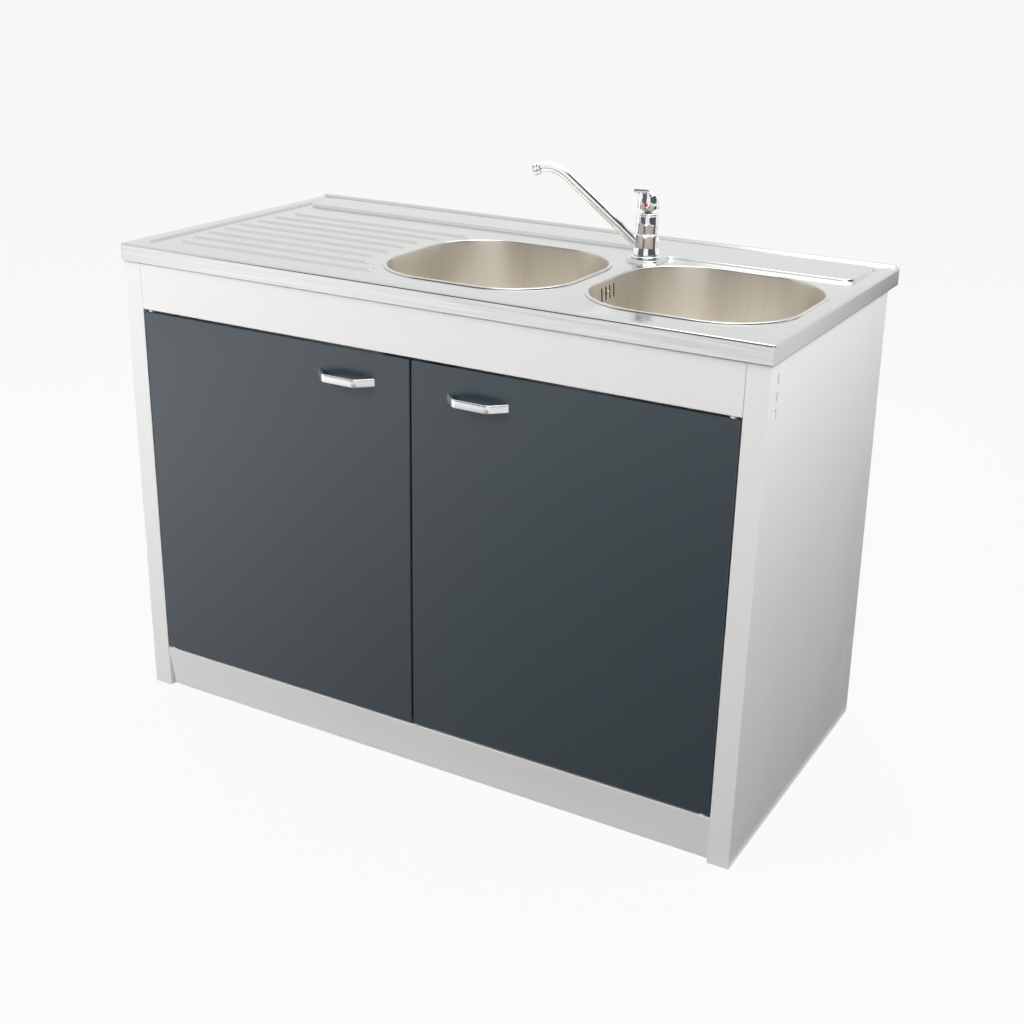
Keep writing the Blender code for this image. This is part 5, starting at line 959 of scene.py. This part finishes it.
def handle(sign, word):
    """Bow of three flats with softened bends and edges, flush on the door at both feet."""
    reach, strap = 0.025 - GAP, 0.0042
    outer, flat = 0.056, 0.0315
    slope = (outer - flat) / reach
    inner_flat = flat - strap * (hypot(1, slope) - slope)
    bend = 12
    outside = rounded([(-outer, 0), (-flat, -reach), (flat, -reach), (outer, 0)], [0, 0.016, 0.016, 0],
                      bend, closed=False)
    inside_line = rounded([(-0.044, 0), (-inner_flat, strap - reach), (inner_flat, strap - reach),
                           (0.044, 0)], [0, 0.012, 0.012, 0], bend, closed=False)
    half, corner = 0.0070, 0.0019
    rings = []
    for a, b in zip(outside, inside_line):
        across = b - a
        thick = across.length
        radii = [corner, min(corner, thick / 3), min(corner, thick / 3), corner]
        loop = rounded(rectangle(0, thick, -half, half), radii, 4)
        unit = across.normalized()
        rings.append([(a.x + unit.x * p[0], a.y + unit.y * p[0], p[1]) for p in loop])
    shape = lofted(rings)
    place = shift(sign * HANDLE_X, at_depth(0.003) - GAP, HANDLE_Z)
    drills = [moved_by(rod(0.0021, -0.004, 0.0051, 20), turned_to((0, -1, 0), (x, 0, 0)))
              for x in (-SCREW_REACH, SCREW_REACH)]
    shape = carved(shape, joined(*drills))
    placed(f"pull_{word}", f"handle_{word}", moved_by(shape, place), angle=38)


def handle_screws():
    y, wide, narrow = at_depth(0.004) + GAP, 0.0018, 0.0004
    profile = [(0, -0.0022), (0.0030, -0.0022), (0.0038, -0.0010), (0.0038, 0), (0.0017, 0),
               (0.0017, 0.0064), (0, 0.0064)]
    plan = [(narrow, wide), (-narrow, wide), (-narrow, narrow), (-wide, narrow), (-wide, -narrow),
            (-narrow, -narrow), (-narrow, -wide), (narrow, -wide), (narrow, -narrow), (wide, -narrow),
            (wide, narrow), (narrow, narrow)]
    places = [sign * HANDLE_X + reach for sign, _ in SIDES for reach in (-SCREW_REACH, SCREW_REACH)]
    for number, x in enumerate(places, 1):
        screw = lathe(profile, [0, 0.0008, 0.0006, 0, 0, 0.0003, 0], 32)
        moved_by(screw, turned_to((0, -1, 0), (x, y, HANDLE_Z)))
        cross = lofted([[(x + a, depth, HANDLE_Z + b) for a, b in plan]
                        for depth in (y + 0.0009, y + 0.004)])
        placed(f"pull_screw_{number}", f"handle_screw_{number}", carved(screw, cross))


def pegs():
    """Shelf pins and door pivots, turned round and fine."""
    start, plate, shank, head = GAP - SHEET, 0.0065, 0.004, 0.0037
    peg = [(0, start), (head, start), (head, GAP), (plate, GAP), (plate, 0.002), (shank, 0.002),
           (shank, 0.013), (0, 0.013)]
    places = [(sign, depth) for sign, _ in SIDES for depth in (0.097, 0.362)]
    for number, (sign, depth) in enumerate(places, 1):
        place = shift(sign * 0.596, at_depth(depth), 0.386) @ Matrix.Rotation(-sign * pi / 2, 4, "Y")
        turned(f"peg_{number}", f"shelf_pin_{number}", peg,
               [0, 0.0003, 0, 0.0003, 0.0005, 0.0002, 0.001, 0], 40, place)
    core, flange, low = 0.003, 0.0055, -0.0037
    pivot = [(0, -0.011), (0.0026, -0.011), (core, -0.0102), (core, low), (flange, low), (flange, -GAP),
             (core, -GAP), (core, 0.0013), (0.0045, 0.0013), (core, 0.0043), (0, 0.0043)]
    for sign, word in SIDES:
        for end, seat in (("top", 0.745), ("bottom", 0.082)):
            pin = revolved(pivot, 40)
            if end == "bottom":
                moved_by(pin, Matrix.Rotation(pi, 4, "X"))
            moved_by(pin, shift(sign * PIVOT_X, at_depth(0.010), seat))
            placed(f"hinge_{end}_{word}", f"pivot_{end}_{word}", pin)


# The whole cabinet

sink_top()
for bowl_x, bowl_word in BOWLS:
    bowl(bowl_x, bowl_word)
    waste(bowl_x, bowl_word)
    strainer(bowl_x, bowl_word)
overflow()
pipes()
tap()
for side_sign, side_word in SIDES:
    folded(f"side_{side_word}_sheet", f"side_{side_word}")
    folded(f"door_{side_word}_pan", f"door_{side_word}", fold=0.0016)
    folded(f"catch_{side_word}_body", f"catch_{side_word}", fold=0.0006)
    handle(side_sign, side_word)
folded("front_rail_sheet", "front_rail")
folded("rear_rail_sheet", "rear_rail")
folded("plinth_sheet", "plinth")
folded("floor_sheet", "floor_panel")
folded("shelf_sheet", "shelf")
handle_screws()
pegs()


# Room, light and camera

SKY = 0.08


def worked_out(nodes, links, operation, first, second):
    """A sum over a source and another source or a number."""
    step = nodes.new("ShaderNodeMath")
    step.operation = operation
    links.new(first, step.inputs[0])
    if isinstance(second, float):
        step.inputs[1].default_value = second
    else:
        links.new(second, step.inputs[1])
    return step.outputs[0]


def paths_to_camera(nodes, links):
    """1 for rays that see the background itself: from the camera, a gloss or a glass."""
    rays = nodes.new("ShaderNodeLightPath").outputs
    first = worked_out(nodes, links, "MAXIMUM", rays["Is Camera Ray"], rays["Is Glossy Ray"])
    return worked_out(nodes, links, "MAXIMUM", first, rays["Is Transmission Ray"])


def mixed(nodes, links, share, first, second, output):
    mix = nodes.new("ShaderNodeMixShader")
    for number, source in enumerate((share, first.outputs[0], second.outputs[0])):
        links.new(source, mix.inputs[number])
    links.new(mix.outputs[0], nodes[output].inputs["Surface"])


def world():
    made = bpy.context.scene.world = bpy.data.worlds.new("studio")
    nodes, links = graph(made)
    soft, white = nodes["Background"], nodes.new("ShaderNodeBackground")
    fill(soft, {"Color": (1, 1, 1, 1), "Strength": SKY})
    fill(white, {"Color": (1, 1, 1, 1), "Strength": 1.0})
    mixed(nodes, links, paths_to_camera(nodes, links), soft, white, "World Output")


def staged(name, corners, look):
    """A flat sheet of the studio, which isn't part of the object."""
    shape = bmesh.new()
    shape.faces.new([shape.verts.new(corner) for corner in corners])
    made = linked(name, meshed(name, shape))
    made.data.materials.append(look)
    return made


def floor():
    look = bpy.data.materials.new("studio_floor_look")
    nodes, links = graph(look)
    nodes.remove(nodes["Principled BSDF"])
    pale = nodes.new("ShaderNodeBsdfDiffuse")
    glow = nodes.new("ShaderNodeEmission")
    fill(pale, {"Color": (0.34, 0.325, 0.315, 1)})
    fill(glow, {"Color": (1, 1, 1, 1), "Strength": 1.0})
    share = worked_out(nodes, links, "MULTIPLY", paths_to_camera(nodes, links), 0.93)
    mixed(nodes, links, share, pale, glow, "Material Output")
    staged("studio_floor", [(-40, -40, 0), (40, -40, 0), (40, 40, 0), (-40, 40, 0)], look)


def card(name, low, high, near, far):
    """A card seen only in gloss; its glow runs from near to far along X."""
    look = bpy.data.materials.new(f"{name}_look")
    nodes, links = graph(look)
    place = nodes.new("ShaderNodeTexCoord")
    split = nodes.new("ShaderNodeSeparateXYZ")
    links.new(place.outputs["Object"], split.inputs[0])
    step = nodes.new("ShaderNodeMapRange")
    step.interpolation_type = "SMOOTHSTEP"
    fill(step, {"From Min": low[0], "From Max": high[0], "To Min": near, "To Max": far})
    links.new(split.outputs[0], step.inputs["Value"])
    glow = nodes.new("ShaderNodeEmission")
    fill(glow, {"Color": (1, 1, 1, 1)})
    links.new(step.outputs["Result"], glow.inputs["Strength"])
    links.new(glow.outputs[0], nodes["Material Output"].inputs["Surface"])
    if low[2] == high[2]:
        corners = [low, (high[0], low[1], low[2]), high, (low[0], high[1], low[2])]
    else:
        corners = [low, (high[0], high[1], low[2]), high, (low[0], low[1], high[2])]
    made = staged(name, corners, look)
    made.visible_camera = made.visible_diffuse = made.visible_shadow = made.visible_transmission = False
    made.visible_volume_scatter = False


def lamp(name, place, aim, size, tall, power, seen=False):
    data = bpy.data.lights.new(name, "AREA")
    data.shape = "RECTANGLE"
    data.size, data.size_y, data.energy = size, tall, power
    made = linked(name, data)
    made.location = place
    made.rotation_mode = "QUATERNION"
    made.rotation_quaternion = (Vector(aim) - Vector(place)).to_track_quat("-Z", "Y")
    made.visible_glossy, made.visible_camera = seen, False


def camera():
    """The photo's own pinhole camera."""
    data = bpy.data.cameras.new("photo_camera")
    data.lens, data.sensor_width = 51.82, 36.0
    made = linked("photo_camera", data)
    ahead = Vector((-0.4554, 0.8092, -0.3713)).normalized()
    right = Vector((0.8675, 0.4971, 0.0194))
    right = (right - ahead * right.dot(ahead)).normalized()
    up = right.cross(ahead)
    turn = Matrix((right, up, -ahead)).transposed().to_4x4()
    made.matrix_world = shift(1.2493, -2.1671, 1.3863) @ turn
    bpy.context.scene.camera = made


world()
floor()
lamp("key", (-1.6, -2.2, 2.2), (0.0, -0.29, 0.55), 1.4, 1.4, 75)
lamp("right_strip", (1.5, 0.1, 1.8), (0.6, 0.1, 1.0), 1.2, 0.4, 8)
lamp("right", (1.9, -0.9, 1.9), (0.6, 0.0, 0.6), 1.0, 1.0, 22)
lamp("rear", (-0.9, 2.3, 2.0), (0.0, 0.3, 0.5), 1.4, 1.4, 55)
lamp("left", (-2.4, 0.5, 1.9), (-0.6, 0.0, 0.5), 1.2, 1.2, 22)
lamp("above", (0.8, 0.0, 2.9), (0.4, 0.0, 0.75), 2.6, 2.6, 44, seen=True)
card("card_behind", (-4.5, -4.3, 0.0), (0.6, -4.3, 4.6), 0.13, 0.13)
card("card_front", (-2.9, -2.6, 0.002), (0.9, -0.31, 0.002), 1.7, 0.2)
card("card_far", (-6.0, -4.3, 0.002), (3.0, -2.6, 0.002), 1.5, 1.2)
card("card_side", (3.2, -3.0, 0.4), (3.2, 1.6, 4.0), 0.1, 0.1)
card("card_right", (0.601, -0.3, 0.002), (1.8, 4.4, 0.002), 0.05, 0.72)
camera()
bpy.context.scene.view_settings.view_transform = "Standard"

bpy.context.view_layer.update()
